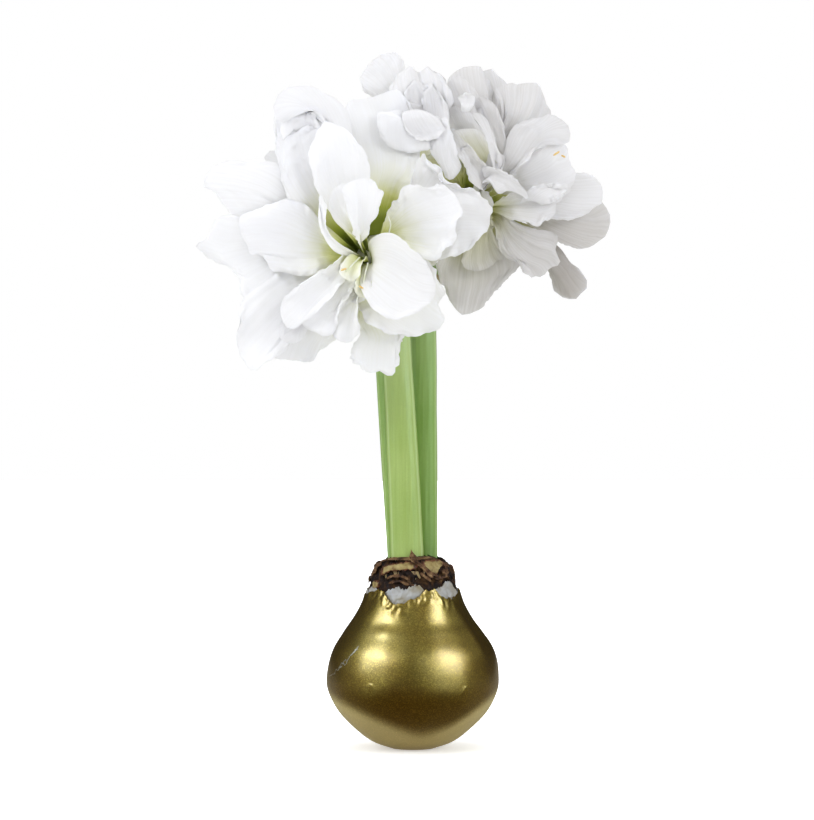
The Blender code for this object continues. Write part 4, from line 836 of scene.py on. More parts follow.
LEFT_PETALS = [
    # outer petals, clockwise from the top
    petal([(-33.5, 25.5), (-44.5, 45.5), (-50, 59.5), (-51.5, 70.5), (-50, 79.5)], (-42.5, 85),
          [(-31.5, 84.5), (-25, 79.5), (-20.5, 67.5), (-17, 53), (-11.5, 25.5)], (-5, -8), frill=0.2,
          phase=0.4, reflex=0, flutes=0.2, cup=0),
    petal([(-11.5, 23), (-15, 45), (-20, 63), (-27, 74), (-38, 72.5), (-45.5, 68), (-49.5, 67.5)],
          (-51.5, 74), [(-50.5, 81.5), (-46, 86.5), (-38, 88.5), (-29, 88), (-23.5, 84.5), (-17, 81),
          (-11, 74.5), (-7.5, 53), (-4, 23)], (-13, -18.5), frill=0.1, cup=0, ruffle=0.3, flutes=0.2,
          curl=0.3, reflex=0, grey=0.045),
    petal([(-0.5, 18), (-5, 39), (-11, 58.5), (-13, 73), (-9.5, 80)], (0, 81.5), [(9, 84), (17, 86.5),
          (25, 76), (31.5, 61), (29.5, 52), (29.5, 43), (27.5, 34), (21, 29.5), (15, 19)], (-2, 4, 8),
          phase=1.1, cup=0.1, frill=0.25, green=6, fold=(0.62, 2.6, -1.6)),
    petal([(15, 18), (21.5, 30), (27, 43), (31, 51.5), (35, 45), (42, 37), (51, 34.5), (61, 30.5)],
          (69, 20.5), [(66.5, 11.5), (61.5, 3.5), (54.5, -2), (45.5, -5.5), (38, -8.5), (26, -6.5),
          (12.5, -1)], (-9, -12), grey=0.08, ruffle=2.8, phase=0.8, frill=0.5, fold=(0.1, 2, 2)),
    petal([(15, -6.5), (29, -5), (36.5, -10), (39.5, -17.5), (43, -26), (40.5, -30.5)], (43, -39.5),
          [(39.5, -46), (34.5, -47.5), (28, -49.5), (21, -49), (13, -48.5), (5.5, -45.5), (-1, -39.5),
          (-5.5, -29.5)], (-17, -12), phase=2.6, ruffle=1.6, grey=0.04),
    petal([(14, -24), (18, -37), (21, -49.5), (17.5, -54.5), (18.5, -60), (17.5, -65.5)], (14.5, -70),
          [(5.5, -70), (-1.5, -67.5), (-9.5, -59), (-7.5, -53.5), (-3.5, -48), (-7.5, -39.5), (-8, -31.5),
          (-6, -20.5)], (-9, -7), phase=0.2, frill=0.8),
    petal([(-6, -24), (-9.5, -39.5), (-18, -51.5), (-25, -58)], (-33.5, -63.5), [(-42.5, -63), (-50, -62),
          (-60, -58), (-58, -41.5), (-31.5, -19.5)], (-7, 1), phase=1.5, grey=0.05, ruffle=1.4),
    petal([(-12.5, -19.5), (-27, -36), (-39, -50.5), (-51, -61.5), (-56, -64)], (-61, -68.5), [(-66.5, -65),
          (-70.5, -57.5), (-72, -50.5), (-71, -40.5), (-70, -32.5), (-66.5, -27.5), (-58, -20.5),
          (-47.5, -13), (-27, -4)], (-14, -12), phase=2.2, ruffle=1.6, flutes=0.3),
    petal([(-27, -8.5), (-47.5, -15), (-58, -23), (-66.5, -29.5), (-69.5, -24), (-70.5, -17.5),
          (-75.5, -12), (-84, -8.5)], (-94.5, 1.5), [(-88.5, 4), (-86, 9), (-84, 14), (-80.5, 17.5),
          (-73.5, 18), (-58, 18), (-28, 9)], (-9, -4), phase=0.5, ruffle=1.8, flutes=0.2, grey=0.03),
    petal([(-20.5, 9), (-37, 13.5), (-52.5, 16.5), (-64.5, 17), (-71, 17), (-75, 18), (-80, 24), (-85, 31)],
          (-90, 33), [(-89, 37.5), (-85, 43), (-78, 47), (-70, 47.5), (-66, 46.5), (-60, 47.5),
          (-50.5, 46.5), (-37, 41), (-27, 26.5)], (-15, -12), phase=1.9, frill=0.2, cup=0.05, ruffle=0.6,
          grey=0.06),
    petal([(-30.5, 31), (-46, 42)], (-56.5, 47), [(-54.5, 52), (-44.5, 53), (-28, 42)], (0, 6), grey=0.06),
    # inner petals
    petal([(-33.5, 13.5), (-44.5, 26.5), (-49.5, 42), (-50.5, 53), (-50, 63), (-48.5, 73)], (-37.5, 79),
          [(-28, 79.5), (-21, 73), (-16, 53), (-12, 28)], (-22, -11.5), phase=1, crush=0.5, ruffle=0.7,
          frill=0.5, cup=0, green=16, grey=-0.02),
    petal([(-19, 18), (-27, 32), (-29.5, 41), (-31.5, 49.5), (-30.5, 57), (-27, 64), (-22.5, 69)],
          (-17, 67.5), [(-10, 63), (-5, 57), (-0.5, 50), (1, 42), (1, 32), (-1.5, 17)], (-26, -28), green=8,
          ruffle=0.5, cup=0.15, rim=(-1.4, 0), fold=(-0.6, 1.5, 1.2)),
    petal([(11, 18), (15.5, 25.5), (23.5, 31), (33.5, 33.5), (42.5, 33), (48.5, 28)], (52.5, 17),
          [(49, 11.5), (48.5, 4.5), (43.5, 0.5), (37.5, -7), (25, -4), (11.5, 3.5)], (-18, -24), ruffle=1.6,
          phase=1.4, frill=0.5, green=3),
    petal([(1, 2.5), (6, 6.5), (12, 7.5), (17.5, 5.5), (23, -1), (29.5, -5.5), (34.5, -13)], (37.5, -21),
          [(36.5, -27.5), (31.5, -33), (23.5, -37.5), (15.5, -40), (8, -37.5), (1.5, -31.5), (-3, -24),
          (-4, -14), (-3, -6.5)], (-32, -36), cup=0.25, ruffle=0.35, green=-2, grey=0.09),
    petal([(-1.5, -19.5), (-5, -30.5), (-5.5, -38.5), (-4.5, -47.5)], (-9.5, -53), [(-15, -52),
          (-18.5, -49), (-20, -42.5), (-17, -35.5), (-12, -26), (-8, -16)], (-23, -24), cup=0.3, green=3,
          frill=0.5),
    petal([(-3, -13), (-8, -24), (-13, -32.5), (-16, -39.5), (-17, -46)], (-23.5, -49.5), [(-29.5, -46.5),
          (-35, -43.5), (-36.5, -37), (-27, -25), (-14, -9.5)], (-24, -24), green=2, frill=0.6),
    petal([(-6, -9.5), (-14.5, -19.5), (-22.5, -29), (-31.5, -38.5), (-37, -43)], (-41, -45.5),
          [(-45.5, -42.5), (-47.5, -35), (-45, -27), (-38.5, -21), (-29.5, -15), (-20.5, -10), (-10.5, -3)],
          (-27, -28), ruffle=0.5, green=2, rim=(-0.8, 1.2), frill=0.25, grey=0.02),
    petal([(-9.5, -6.5), (-20.5, -10.5), (-29.5, -15.5), (-38.5, -16), (-47.5, -14), (-53.5, -13),
          (-55, -8.5), (-59, -5), (-64, -5)], (-67, 1.5), [(-70, 8), (-69.5, 17), (-66, 18.5), (-58, 22.5),
          (-50.5, 25), (-45.5, 26.5), (-38.5, 25), (-32.5, 22), (-26.5, 15.5), (-14, 4.5)], (-22, -17),
          phase=0.3, ruffle=1.2, cup=0.1, green=8, frill=0.3, fold=(0.3, 3, 1.6), flutes=0.2),
    # small petaloids in the throat
    petal([(-5.5, 2), (-8, 10), (-10, 18), (-11.5, 25.5), (-14, 31.5)], (-9.5, 35.5), [(-1.5, 37), (3, 36),
          (6, 31.5), (9, 29.5), (7, 22), (5.5, 16.5), (2, 12.5), (1, 6.5), (-3, 2)], (-34, -41), cup=0.1,
          ruffle=0.5, fold=(-0.5, 2.4, 1.6), green=3, frill=0.25, reflex=1),
    petal([(-5.5, 3.5), (-12, 9.5), (-16.5, 13), (-20, 19), (-20.5, 26.5)], (-16.5, 33), [(-12, 34),
          (-9, 28), (-7.5, 19), (-4.5, 7)], (-31, -37), cup=-0.2, ruffle=0.4, green=14, frill=0.25,
          grey=0.02),
    petal([(-11, -5.5), (-17.5, -3), (-22.5, 3), (-26, 10), (-27, 19)], (-25.5, 29.5), [(-24, 25),
          (-22, 22.5), (-23, 15), (-21, 8), (-16, 2.5), (-8, -2.5)], (-31, -38), ruffle=0.1, curl=0.1,
          cup=0, green=-2, reflex=0),
    petal([(-0.5, -5), (-3.5, -10.5), (-4.5, -15.5)], (-7.5, -19), [(-12.5, -17.5), (-14.5, -13),
          (-13, -8.5), (-8, -4)], (-24, -29), cup=0.8, ruffle=0.3, green=10),
    petal([(1.5, -9.5), (2, -19.5)], (-1, -27.5), [(-5.5, -26), (-5, -18.5), (-2, -9.5)], (-25, -29),
          cup=0.8, ruffle=0.3, green=12),
    petal([(-1.5, -18.5), (-1, -25), (-3, -30)], (-6.5, -31.5), [(-9.5, -29.5), (-8, -25), (-5, -17.5)],
          (-19, -23), ruffle=0.8, grey=0.08),
    petal([(-27, -34), (-31.5, -44), (-38, -52.5)], (-43, -53), [(-47.5, -51.5), (-48.5, -45), (-41, -36)],
          (-19, -18), grey=0.1, crush=0.6),
    petal([(-48, 66), (-45.5, 73)], (-37.5, 75.5), [(-29, 71.5), (-25.5, 63)], (-17, -13), crush=0.9,
          frill=0.4, cup=0, ruffle=0.5, grey=0.01, curl=0, reflex=0, root=[(-46, -14.2, 57.5),
          (-38, -14.2, 53.5), (-28.5, -14.2, 57)]),
]
RIGHT_PETALS = [
    # outer petals, clockwise from the top
    petal([(-11, 34), (-17.5, 48.5), (-19, 58.5), (-17.5, 64)], (-8, 69.5), [(-0.5, 69), (3, 64),
          (6.5, 55.5), (6.5, 39.5)], (-4, 4), phase=0.3, flutes=0.5, grey=0.09),
    petal([(1, 39.5), (2, 55), (0, 66)], (5, 67), [(10, 62.5), (15, 58), (16, 48.5), (12, 34)], (-2, 8),
          phase=1.3, flutes=0.4, grey=0.1),
    petal([(9.5, 34), (8, 48.5), (8, 57), (13, 59.5)], (23, 60), [(31.5, 59), (35, 51), (38.5, 42),
          (32, 28.5), (13, 15.5)], (-8, 0), phase=1.7, flutes=1.1, grey=0.12),
    petal([(8, 11), (12.5, 23), (15, 32.5), (20.5, 38.5), (29, 40.5), (38, 42), (44.5, 39.5)], (49.5, 34.5),
          [(48.5, 29), (45.5, 25), (39, 26.5), (33, 25.5), (28, 21.5), (26, 17), (21, 13), (16, 9)],
          (-19, -16), grey=0.05, ruffle=1.1, phase=0.6, reflex=2, frill=0.7),
    petal([(10, 6.5), (23, 20.5), (35, 29), (43, 27.5)], (47.5, 19), [(50, 14), (51.5, 7.5), (46, -2),
          (28.5, -7.5), (11, -1)], (-13, -10), phase=2.2, grey=-0.02, cup=0.1, ruffle=1.7, frill=0.9),
    petal([(11, 3.5), (28.5, 9), (46, 11), (54, 11), (61, 9), (65.5, 4.5)], (67, -0.5), [(65.5, -6),
          (60.5, -10), (53.5, -14), (45.5, -15.5), (37.5, -14.5), (12, -5.5)], (-5, -3), phase=1.2,
          flutes=0.2),
    petal([(13, -7.5), (36.5, -12), (55, -11), (65, -5.5), (69.5, -10)], (71, -15.5), [(69, -23), (64, -28),
          (56.5, -31), (49, -30.5), (40.5, -26.5), (15.5, -13)], (0, 5), phase=0.4, grey=0.27),
    petal([(21, -16.5), (40.5, -26.5), (48.5, -37.5), (56, -45.5)], (58, -50.5), [(55.5, -55.5),
          (49.5, -59), (44, -58), (39.5, -54.5), (35, -44), (17.5, -21)], (7, 18), phase=1.9, grey=0.42,
          ruffle=0.6),
    petal([(10, -7.5), (16.5, -15.5), (27.5, -20), (37.5, -22.5), (42, -25.5), (40, -32), (43.5, -38.5)],
          (38, -42), [(31, -47), (23.5, -44.5), (19, -38.5), (14, -36), (9.5, -29.5), (5, -15.5)],
          (-15, -12), ruffle=0.8, grey=0.19, flutes=0.6),
    petal([(10, -15.5), (19, -31), (20.5, -40.5), (14.5, -47.5), (6.5, -56), (-0.5, -64.5)], (-11, -67),
          [(-17.5, -60), (-22, -51.5), (-25, -40.5), (-16.5, -24)], (-3, 2), phase=0.8, green=-6, grey=0.22,
          flutes=0.5),
    petal([(-7.5, -7.5), (-17.5, -22)], (-32, -16.5), [(-34, -2), (-25.5, 5.5), (-11, 4.5)], (-14, -4),
          phase=2.5, grey=0.1, green=10),
    petal([(-11, 0), (-25.5, 3.5)], (-32, 11), [(-28.5, 21), (-18.5, 25.5), (-9, 13)], (-15, -10), phase=1,
          grey=0.1, green=10),
    petal([(-13, 23), (-25.5, 36.5), (-31, 53), (-29.5, 64)], (-26.5, 67), [(-21, 64), (-17.5, 53),
          (-11, 34)], (-10, -8), phase=0.1, grey=0.06, flutes=0.3),
    # inner petals
    petal([(5.5, -13), (6.5, -22), (10, -28.5), (12.5, -36.5)], (4.5, -40.5), [(-1, -44), (-7, -43),
          (-10.5, -39), (-9, -29.5), (-1, -16.5)], (-11, -11), grey=0.2, flutes=0.3, frill=0.5),
    petal([(6.5, -6.5), (12, -3), (18.5, -0.5), (25, 0.5), (28, 3), (37, 3.5), (44, 4.5)], (47.5, 1),
          [(43, -3), (41, -7), (39, -11.5), (34.5, -15), (31, -19), (25, -17.5), (15.5, -15), (6.5, -11)],
          (-18, -21), phase=2, frill=0.6, ruffle=1, flutes=0.25, green=4),
    petal([(23, -2), (28, 3), (37, 4)], (47, 3.5), [(43.5, -2), (39.5, -5.5)], (-24, -26), phase=0.7,
          frill=0.5, crush=0.5, grey=-0.04, ruffle=0.8, cup=0, root=[(21, -20, -6.5), (27, -22, -5),
          (33, -20, -7.5)]),
    petal([(6.5, 11), (5.5, 24), (1.5, 37.5), (-3.5, 47.5)], (-2, 53), [(4.5, 50.5), (10, 43), (13, 34),
          (14, 24), (12, 12)], (-17, -15), cup=0.5, ruffle=0.5, grey=0.1, rim=(0, 1.2)),
    petal([(-11, 28.5), (-18, 44), (-20, 54), (-18, 61.5)], (-13, 64), [(-6.5, 59.5), (0, 50.5),
          (3.5, 37.5), (2, 23)], (-15, -12), phase=0.7, grey=0.08, flutes=0.5),
    petal([(-11, 22), (-17.5, 32), (-20.5, 40)], (-17, 47), [(-9, 45.5), (-2, 40.5), (2, 32), (4.5, 22)],
          (-18, -20), cup=0, ruffle=0.5, green=12, flutes=0.3),
    petal([(-2, 9), (-7.5, 19), (-14, 26.5), (-17, 32.5)], (-10, 35), [(-0.5, 33.5), (4, 28), (6.5, 20),
          (10, 13)], (-23, -25), cup=0, ruffle=0.2, green=19, reflex=-1.2, curl=-0.9, frill=0.15,
          flutes=0.4, rim=(1.2, 0)),
    # small petaloids in the middle
    petal([(5.5, 9), (4, 22), (1.5, 30.5), (-2, 37.5)], (-6, 43.5), [(-0.5, 43), (4.5, 36.5), (7, 28),
          (11, 16.5)], (-25, -28), cup=0.2, ruffle=0.3, rim=(0.8, 0), frill=0.2),
    petal([(2, 7.5), (3, 16.5), (4, 22)], (8, 22.5), [(12, 19), (11.5, 14.5), (7.5, 9)], (-22, -25),
          ruffle=0.6),
    petal([(-11.5, 48), (-13, 51.5)], (-9.5, 54), [(-4, 53), (-4, 49)], (-25, -28), cup=0, ruffle=0.3,
          grey=-0.12, frill=0.5, reflex=0, root=[(-11.5, -22, 45), (-9.5, -23, 44), (-6.5, -22, 44.5)]),
    petal([(6.5, -7.5), (3, 0.5), (-1, 2), (-5, 4.5), (-9, 14.5), (-14.5, 22.5), (-20.5, 30.5)],
          (-21.5, 37.5), [(-16.5, 35), (-13, 31), (-7.5, 25), (-1, 17.5), (5.5, 10)], (-27, -31), grey=0.05,
          ruffle=0.7, crush=0.35, frill=0.4),
    petal([(2, 14.5), (10, 13), (16.5, 9), (22, 3.5)], (25.5, -4), [(20, -0.5), (14.5, 1), (9.5, -1),
          (3.5, 5.5)], (-27, -31), ruffle=0.6, rim=(1, 0)),
]
TOP_PETALS = [
    petal([(-10, -4.5), (-22, 2), (-28, 5.5), (-31, 11.5), (-32.5, 15.5)], (-29.5, 19), [(-25.5, 24),
          (-18.5, 28.5), (-12, 27.5), (-7.5, 22.5), (-7, 17.5), (-4.5, 2)], (-5, 2), phase=0.6, crush=0.5,
          ruffle=0.6, flutes=0.4, grey=0.05),
    petal([(-9, -6.5), (-14.5, 1), (-15.5, 9), (-12, 15), (-8, 18.5)], (-4, 21), [(0, 18), (5.5, 20.5),
          (10, 18.5), (13, 15.5), (17, 11), (18.5, 0), (12, -11)], (-28, -20), phase=1.6, ruffle=0.8,
          flutes=1, frill=0.3, crush=0.3, grey=0.04),
    petal([(-8, -1), (-8, 7.5)], (-3, 14.5), [(4.5, 11), (11, 3.5)], (-33, -27), phase=2.1, ruffle=0.7,
          frill=0.5, flutes=0.8, grey=0.03, cup=0, root=[(-4.5, -35, -10), (4.5, -36, -11.5),
          (12.5, -35, -9.5)]),
    petal([(1.5, -1), (2, 7.5)], (6.5, 12.5), [(12.5, 6), (16.5, -2)], (-35, -29), phase=0.9, ruffle=0.6,
          frill=0.4, flutes=0.8, green=3, grey=0.05, cup=0, root=[(4, -38, -13), (10.5, -39, -15),
          (17, -38, -14.5)]),
    petal([(-16, -4.5), (-12.5, 1.5)], (-6.5, 3.5), [(-0.5, 1.5), (5, -3.5)], (-35, -32), ruffle=0.5,
          cup=-0.1, grey=0.12, crush=0.3, frill=0.4, root=[(-12.5, -36, -12.5), (-3, -37, -15),
          (5.5, -37, -12.5)]),
    petal([(11, -6.5), (14.5, -13), (15, -20), (12.5, -24), (7, -25)], (-4, -27), [(-10, -25.5),
          (-15.5, -23.5), (-20.5, -18.5), (-22.5, -11.5), (-22, -5), (-16.5, -4), (-9, -3.5)], (-41, -44),
          cup=-0.1, ruffle=0.7, frill=0.35, grey=-0.1),
    petal([(12, -9), (14.5, -14.5)], (10, -19), [(3, -20.5), (-4, -17.5), (-8, -12)], (-43, -45.2), cup=0,
          ruffle=0.25, grey=0.04, crush=0.2, reflex=0, curl=0, frill=0.4, root=[(6.5, -39, -5),
          (-1.5, -39, -3), (-9, -39, -5)]),
    petal([(15.5, -7.5), (18.5, -15.5), (21, -23), (22, -29.5), (24, -34.5)], (17.5, -42.5), [(12.5, -36.5),
          (9, -30.5), (6.5, -25), (5.5, -13)], (-43, -40), cup=0, ruffle=0.4, fold=(0.3, 1.6, 1.8),
          frill=0.4, grey=-0.02, green=4),
    petal([(10, 2), (18.5, 3.5)], (28.5, -2), [(24, -13), (10, -11)], (8, 18), phase=0.9, grey=0.08),
    petal([(13, -15.5), (7.5, -29.5)], (-4.5, -37.5), [(-13, -32), (-11, -14.5)], (8, 20), phase=1.3,
          grey=0.08),
    petal([(-11, -11), (-21, -15.5)], (-35, -10), [(-33, -1), (-18.5, 4.5)], (4, 14), phase=2.7, grey=0.08),
]
PETALS = {"left": LEFT_PETALS, "right": RIGHT_PETALS, "top": TOP_PETALS}


def seen_at(points):
    """Move points across the line of sight, so that each is seen where its x and z have it at y = 0."""
    share = 1.0 + points[..., 1:2] / VIEW_FROM[1]
    moved = points * share + np.array(VIEW_FROM) * (1.0 - share)
    moved[..., 1] = points[..., 1]
    return moved


def petal_outline(bloom, design, seed):
    """The petal's two sides and its end margin as lines in the face plane, its root's three points, the
    place of its claw on the floral tube, and its length."""
    axis = unit(bloom["axis"])
    left, tip, right = (np.array(design[part], float) for part in ("left", "tip", "right"))
    centre = (left.mean(0) + right.mean(0) + tip) / 3
    out = np.array((centre[0], 0.0, centre[1]))
    out = unit(out - axis * (out @ axis))
    side = np.cross(out, axis)
    ring = TUBE_RADIUS + RING_SHARE * design["depth"][0]
    claw = math.radians(CLAW_ANGLE)
    roots = [ring * (out * math.cos(a) + side * math.sin(a)) - axis * TUBE_LENGTH for a in (-claw, 0, claw)]
    tube = roots[1]
    if design["root"]:
        roots = [np.array(point, float) for point in design["root"]]
    line = smooth_line(np.vstack((roots[0][[0, 2]], left, tip, right, roots[2][[0, 2]])), 700)
    run = np.concatenate(([0.0], np.cumsum(np.linalg.norm(np.diff(line, axis=0), axis=1))))
    slope = np.gradient(line, axis=0)
    steepness = np.maximum(np.linalg.norm(slope, axis=1, keepdims=True), 1e-6)
    outward = np.stack((-slope[:, 1], slope[:, 0]), 1) / steepness
    free = smoothstep(0.18, 0.4, run / run[-1]) * smoothstep(0.82, 0.6, run / run[-1])
    notches = np.clip(ripple(run, 0.0 * run, seed + 950, 5.0, 2) - 0.35, 0.0, 1.0)
    teeth = ripple(run, 0.0 * run, seed * 10, 3.4) + ripple(run, 0.0 * run, seed + 900, 11.0, 2)
    line = line + outward * (design["frill"] * (teeth - 1.6 * notches) * free)[:, None]
    top = int(np.argmin(((line - tip) ** 2).sum(1)))
    first = int(np.searchsorted(run, run[top] * (1.0 - END_SHARE)))
    second = int(np.searchsorted(run, run[top] + (run[-1] - run[top]) * END_SHARE))
    length = (run[top] + run[-1]) / 4
    return line[:first + 1], line[first:second + 1], line[second:][::-1], roots, tube, length


def unfolded(grid, rounds=150):
    """A flat grid whose folded or squeezed places are evened out inside its border: there each point goes
    to the mean of its neighbours, weighed by how close the grid's lines run (Winslow's equations)."""
    held = np.zeros(grid[1:-1, 1:-1, 0].shape)
    for _ in range(rounds):
        across = (grid[1:-1, 2:] - grid[1:-1, :-2]) / 2
        down = (grid[2:, 1:-1] - grid[:-2, 1:-1]) / 2
        area = across[..., 0] * down[..., 1] - across[..., 1] * down[..., 0]
        folded = area * np.sign(np.median(area)) < 0.06 * np.median(np.abs(area))
        for axis in (0, 1):
            for step in (-1, 1, -2, 2):
                folded = folded | np.roll(folded, step, axis)
        held = np.maximum(held, folded)
        wide, tall, skew = (part.sum(-1)[..., None] for part in (across**2, down**2, across * down))
        corners = (grid[2:, 2:] - grid[2:, :-2] - grid[:-2, 2:] + grid[:-2, :-2]) / 2
        near = (wide * (grid[2:, 1:-1] + grid[:-2, 1:-1]) + tall * (grid[1:-1, 2:] + grid[1:-1, :-2])
                - skew * corners) / (2.0 * (wide + tall) + 1e-9)
        grid[1:-1, 1:-1] += (near - grid[1:-1, 1:-1]) * held[..., None]
    return grid


def petal_relief(design, seed, s, t, wide, length):
    """How far the petal stands off its sheet at s from -1 to 1 across and t from 0 to 1 along: a ridge, a
    midrib groove, flutes, ruffles, turned-up rims, curled edge, bent end, creases and slow unevenness."""
    x_mm, t_mm = s * wide, t * length
    to_side, to_end = (1.0 - np.abs(s)) * wide, (1.0 - t) * length
    near_side = np.exp(-to_side / 4.5) * smoothstep(0.22, 0.5, t)
    margin_share = np.clip(near_side + np.exp(-to_end / 6.0), 0.0, 1.0)
    around = np.arctan2(x_mm, t_mm - 0.42 * length)
    wave = ripple(around * 15.0 + 5.0 * design["phase"], 0.0 * around, seed + 500, 6.0, 2)
    relief = 1.5 * design["ruffle"] * margin_share**1.3 * wave * min(1.0, length / 30.0)
    edges = np.exp(-to_side / 1.6) * smoothstep(0.3, 0.55, t) + np.exp(-to_end / 1.6)
    relief -= design["curl"] * np.clip(edges, 0.0, 1.0)
    relief -= design["reflex"] * smoothstep(0.72, 1.0, t) ** 1.5
    for turned, side_far in zip(design["rim"], ((1.0 + s) * wide, (1.0 - s) * wide)):
        relief += turned * np.exp(-(side_far / 1.8) ** 2) * smoothstep(0.2, 0.45, t)
    if design["fold"]:
        at, half, height = design["fold"]
        relief += height * np.exp(-np.abs(x_mm - at * wide) / half) * smoothstep(0.1, 0.35, t)
    relief -= 0.35 * np.exp(-(x_mm / 0.9) ** 2) * smoothstep(0.15, 0.4, t) * smoothstep(1.0, 0.7, t)
    count = np.clip(wide.max() / 2.6, 2.0, 8.0)
    flutes = np.cos(count * math.pi * s + 0.8 * np.sin(3.0 * t + seed) + seed)
    relief += design["flutes"] * flutes * smoothstep(0.25, 0.6, t) * smoothstep(1.0, 0.9, t)
    relief += 0.42 * ripple(x_mm, t_mm * 0.5, seed + 200, 13.0) * smoothstep(0.25, 0.6, t)
    creases = np.abs(ripple(x_mm, t_mm, seed + 300, 6.5)) - 0.35
    return relief + 1.8 * design["crush"] * creases * smoothstep(0.55, 0.8, t)


def petal_surface(bloom, design, seed):
    """The petal's surface as rows x columns of points, with each point's distance from the petal's root.

    In the face plane it is the Coons patch of its two sides, its root and its end margin, evened out. Its
    depth follows the midrib, from the floral tube to the tip, and the sides come forward by the cup. Its
    relief stands along the sheet's smoothed normal.
    """
    sides, end_line, other, roots, tube, length = petal_outline(bloom, design, seed)
    wide_most = max(np.linalg.norm(sides[-1] - other[-1]), 4.0)
    rows = int(np.clip(length / 1.35, 22, 60))
    columns = int(np.clip(wide_most / 1.2, 15, 41)) // 2 * 2 + 1
    t = 1.0 - (1.0 - np.linspace(0.0, 1.0, rows)) ** 1.15
    s = np.sin(np.linspace(-1.0, 1.0, columns) * SIDE_TURN) / math.sin(SIDE_TURN)
    u = (s + 1.0) / 2.0
    first, second, margin = along(sides, t), along(other, t), along(end_line, u)
    weights = ((1.0 - u) * (1.0 - 2.0 * u), 4.0 * u * (1.0 - u), u * (2.0 * u - 1.0))
    root = sum(weight[:, None] * point for weight, point in zip(weights, roots))
    tt, uu = t[:, None, None], u[None, :, None]
    flat = ((1 - uu) * first[:, None] + uu * second[:, None]
            + (1 - tt) * root[None, :, [0, 2]] + tt * margin[None]
            - (1 - uu) * (1 - tt) * first[0] - uu * (1 - tt) * second[0]
            - (1 - uu) * tt * first[-1] - uu * tt * second[-1])
    flat = unfolded(flat)
    wide = np.linalg.norm(first - second, axis=1)[:, None] / 2
    t, s = t[:, None], s[None, :]

    start, depth = roots[1][1], np.array(design["depth"], float)
    places = np.linspace(0.62 if len(depth) == 2 else 0.45, 1.0, len(depth))
    knots = [(0.0, start), (0.14, 0.5 * start + 0.5 * depth[0]), (0.3, 0.18 * start + 0.82 * depth[0])]
    depth_line = smooth_line(knots + list(zip(places, depth)), 300)
    grown = smoothstep(0.0, 0.35, t)
    y = np.interp(t, depth_line[:, 0], depth_line[:, 1]) + (root[None, :, 1] - start) * (1 - grown)
    y = y - design["cup"] * wide**2 / wide.max() * grown * s * s
    grid = np.stack((flat[..., 0], y, flat[..., 1]), -1)

    normal = np.cross(np.gradient(grid, axis=1), np.gradient(grid, axis=0))
    for _ in range(3):
        padded = np.pad(normal, ((1, 1), (1, 1), (0, 0)), mode="edge")
        normal = (padded[:-2, 1:-1] + padded[2:, 1:-1] + padded[1:-1, :-2] + padded[1:-1, 2:] + normal) / 5.0
    grid = grid + unit(normal + 1e-9) * petal_relief(design, seed, s, t, wide, length)[..., None]
    far = np.linalg.norm(grid - tube, axis=-1) - design["green"]
    return seen_at(grid + np.array(bloom["throat"])), far, s, t


petal_skin, tree, shader, place = new_material("white petal")
uv = node(tree, "ShaderNodeUVMap", uv_map="UVMap").outputs[0]
# grey holds each petal's painted shade: how much darker than white it is painted for the shade it lies in
grey = attribute(tree, "grey")
veins = grain(tree, uv, 1.0, 3.0, 0.55, stretch=(34.0, 1.3, 1.0))
fine = grain(tree, uv, 1.0, 2.0, 0.5, stretch=(80.0, 5.0, 1.0))
cells = grain(tree, place, 600.0, 3.0, 0.6)
broken = scaled(tree, scaled(tree, veins, 1.0, -0.5), 0.16, attribute(tree, "far"))
throat_tint = ramp(tree, broken, [(0.02, (0.22, 0.27, 0.02)), (0.18, (0.44, 0.49, 0.07)),
                                  (0.38, (0.75, 0.77, 0.32)), (0.55, (0.90, 0.905, 0.70)),
                                  (0.74, (0.945, 0.945, 0.91)), (0.95, (0.95, 0.95, 0.965))])
# painted shade: the greyer a petal, the darker this ramp makes it and the more its veins show
SHADE = [(0.0, 1.0), (0.5, (0.53, 0.505, 0.475)), (1.0, (0.04, 0.015, 0.0))]
body = shaded(tree, 1.0, throat_tint, grey, SHADE)
body = shaded(tree, scaled(tree, grey, 2.0, 0.22), body, veins, [(0.32, (0.90, 0.89, 0.87)), (0.62, 1.02)])
ridges = bump(tree, fine, 0.3, 0.00015, bump(tree, veins, 0.35, 0.00035))
connect(shader, {"Base Color": body, "Roughness": ramp(tree, cells, [(0.3, 0.50), (0.7, 0.62)]),
                 "Normal": bump(tree, cells, 0.2, 0.0002, ridges),
                 "Specular IOR Level": 0.25, "Sheen Weight": 0.1, "Subsurface Weight": 0.5,
                 "Subsurface Radius": (0.0026, 0.0026, 0.0024), "Subsurface Scale": 1.0})

# painted shade of each bloom, added to its petals' own: the blooms further back are painted greyer for the
# shade they lie in
BLOOM_PAINTED_SHADE = {"left": 0.0, "right": 0.19, "top": 0.10}
# distance from the root where the green is deepest, and over which it fades
GREEN = {"left": (23.5, 42.0), "right": (20.0, 38.0), "top": (2.0, 24.0)}
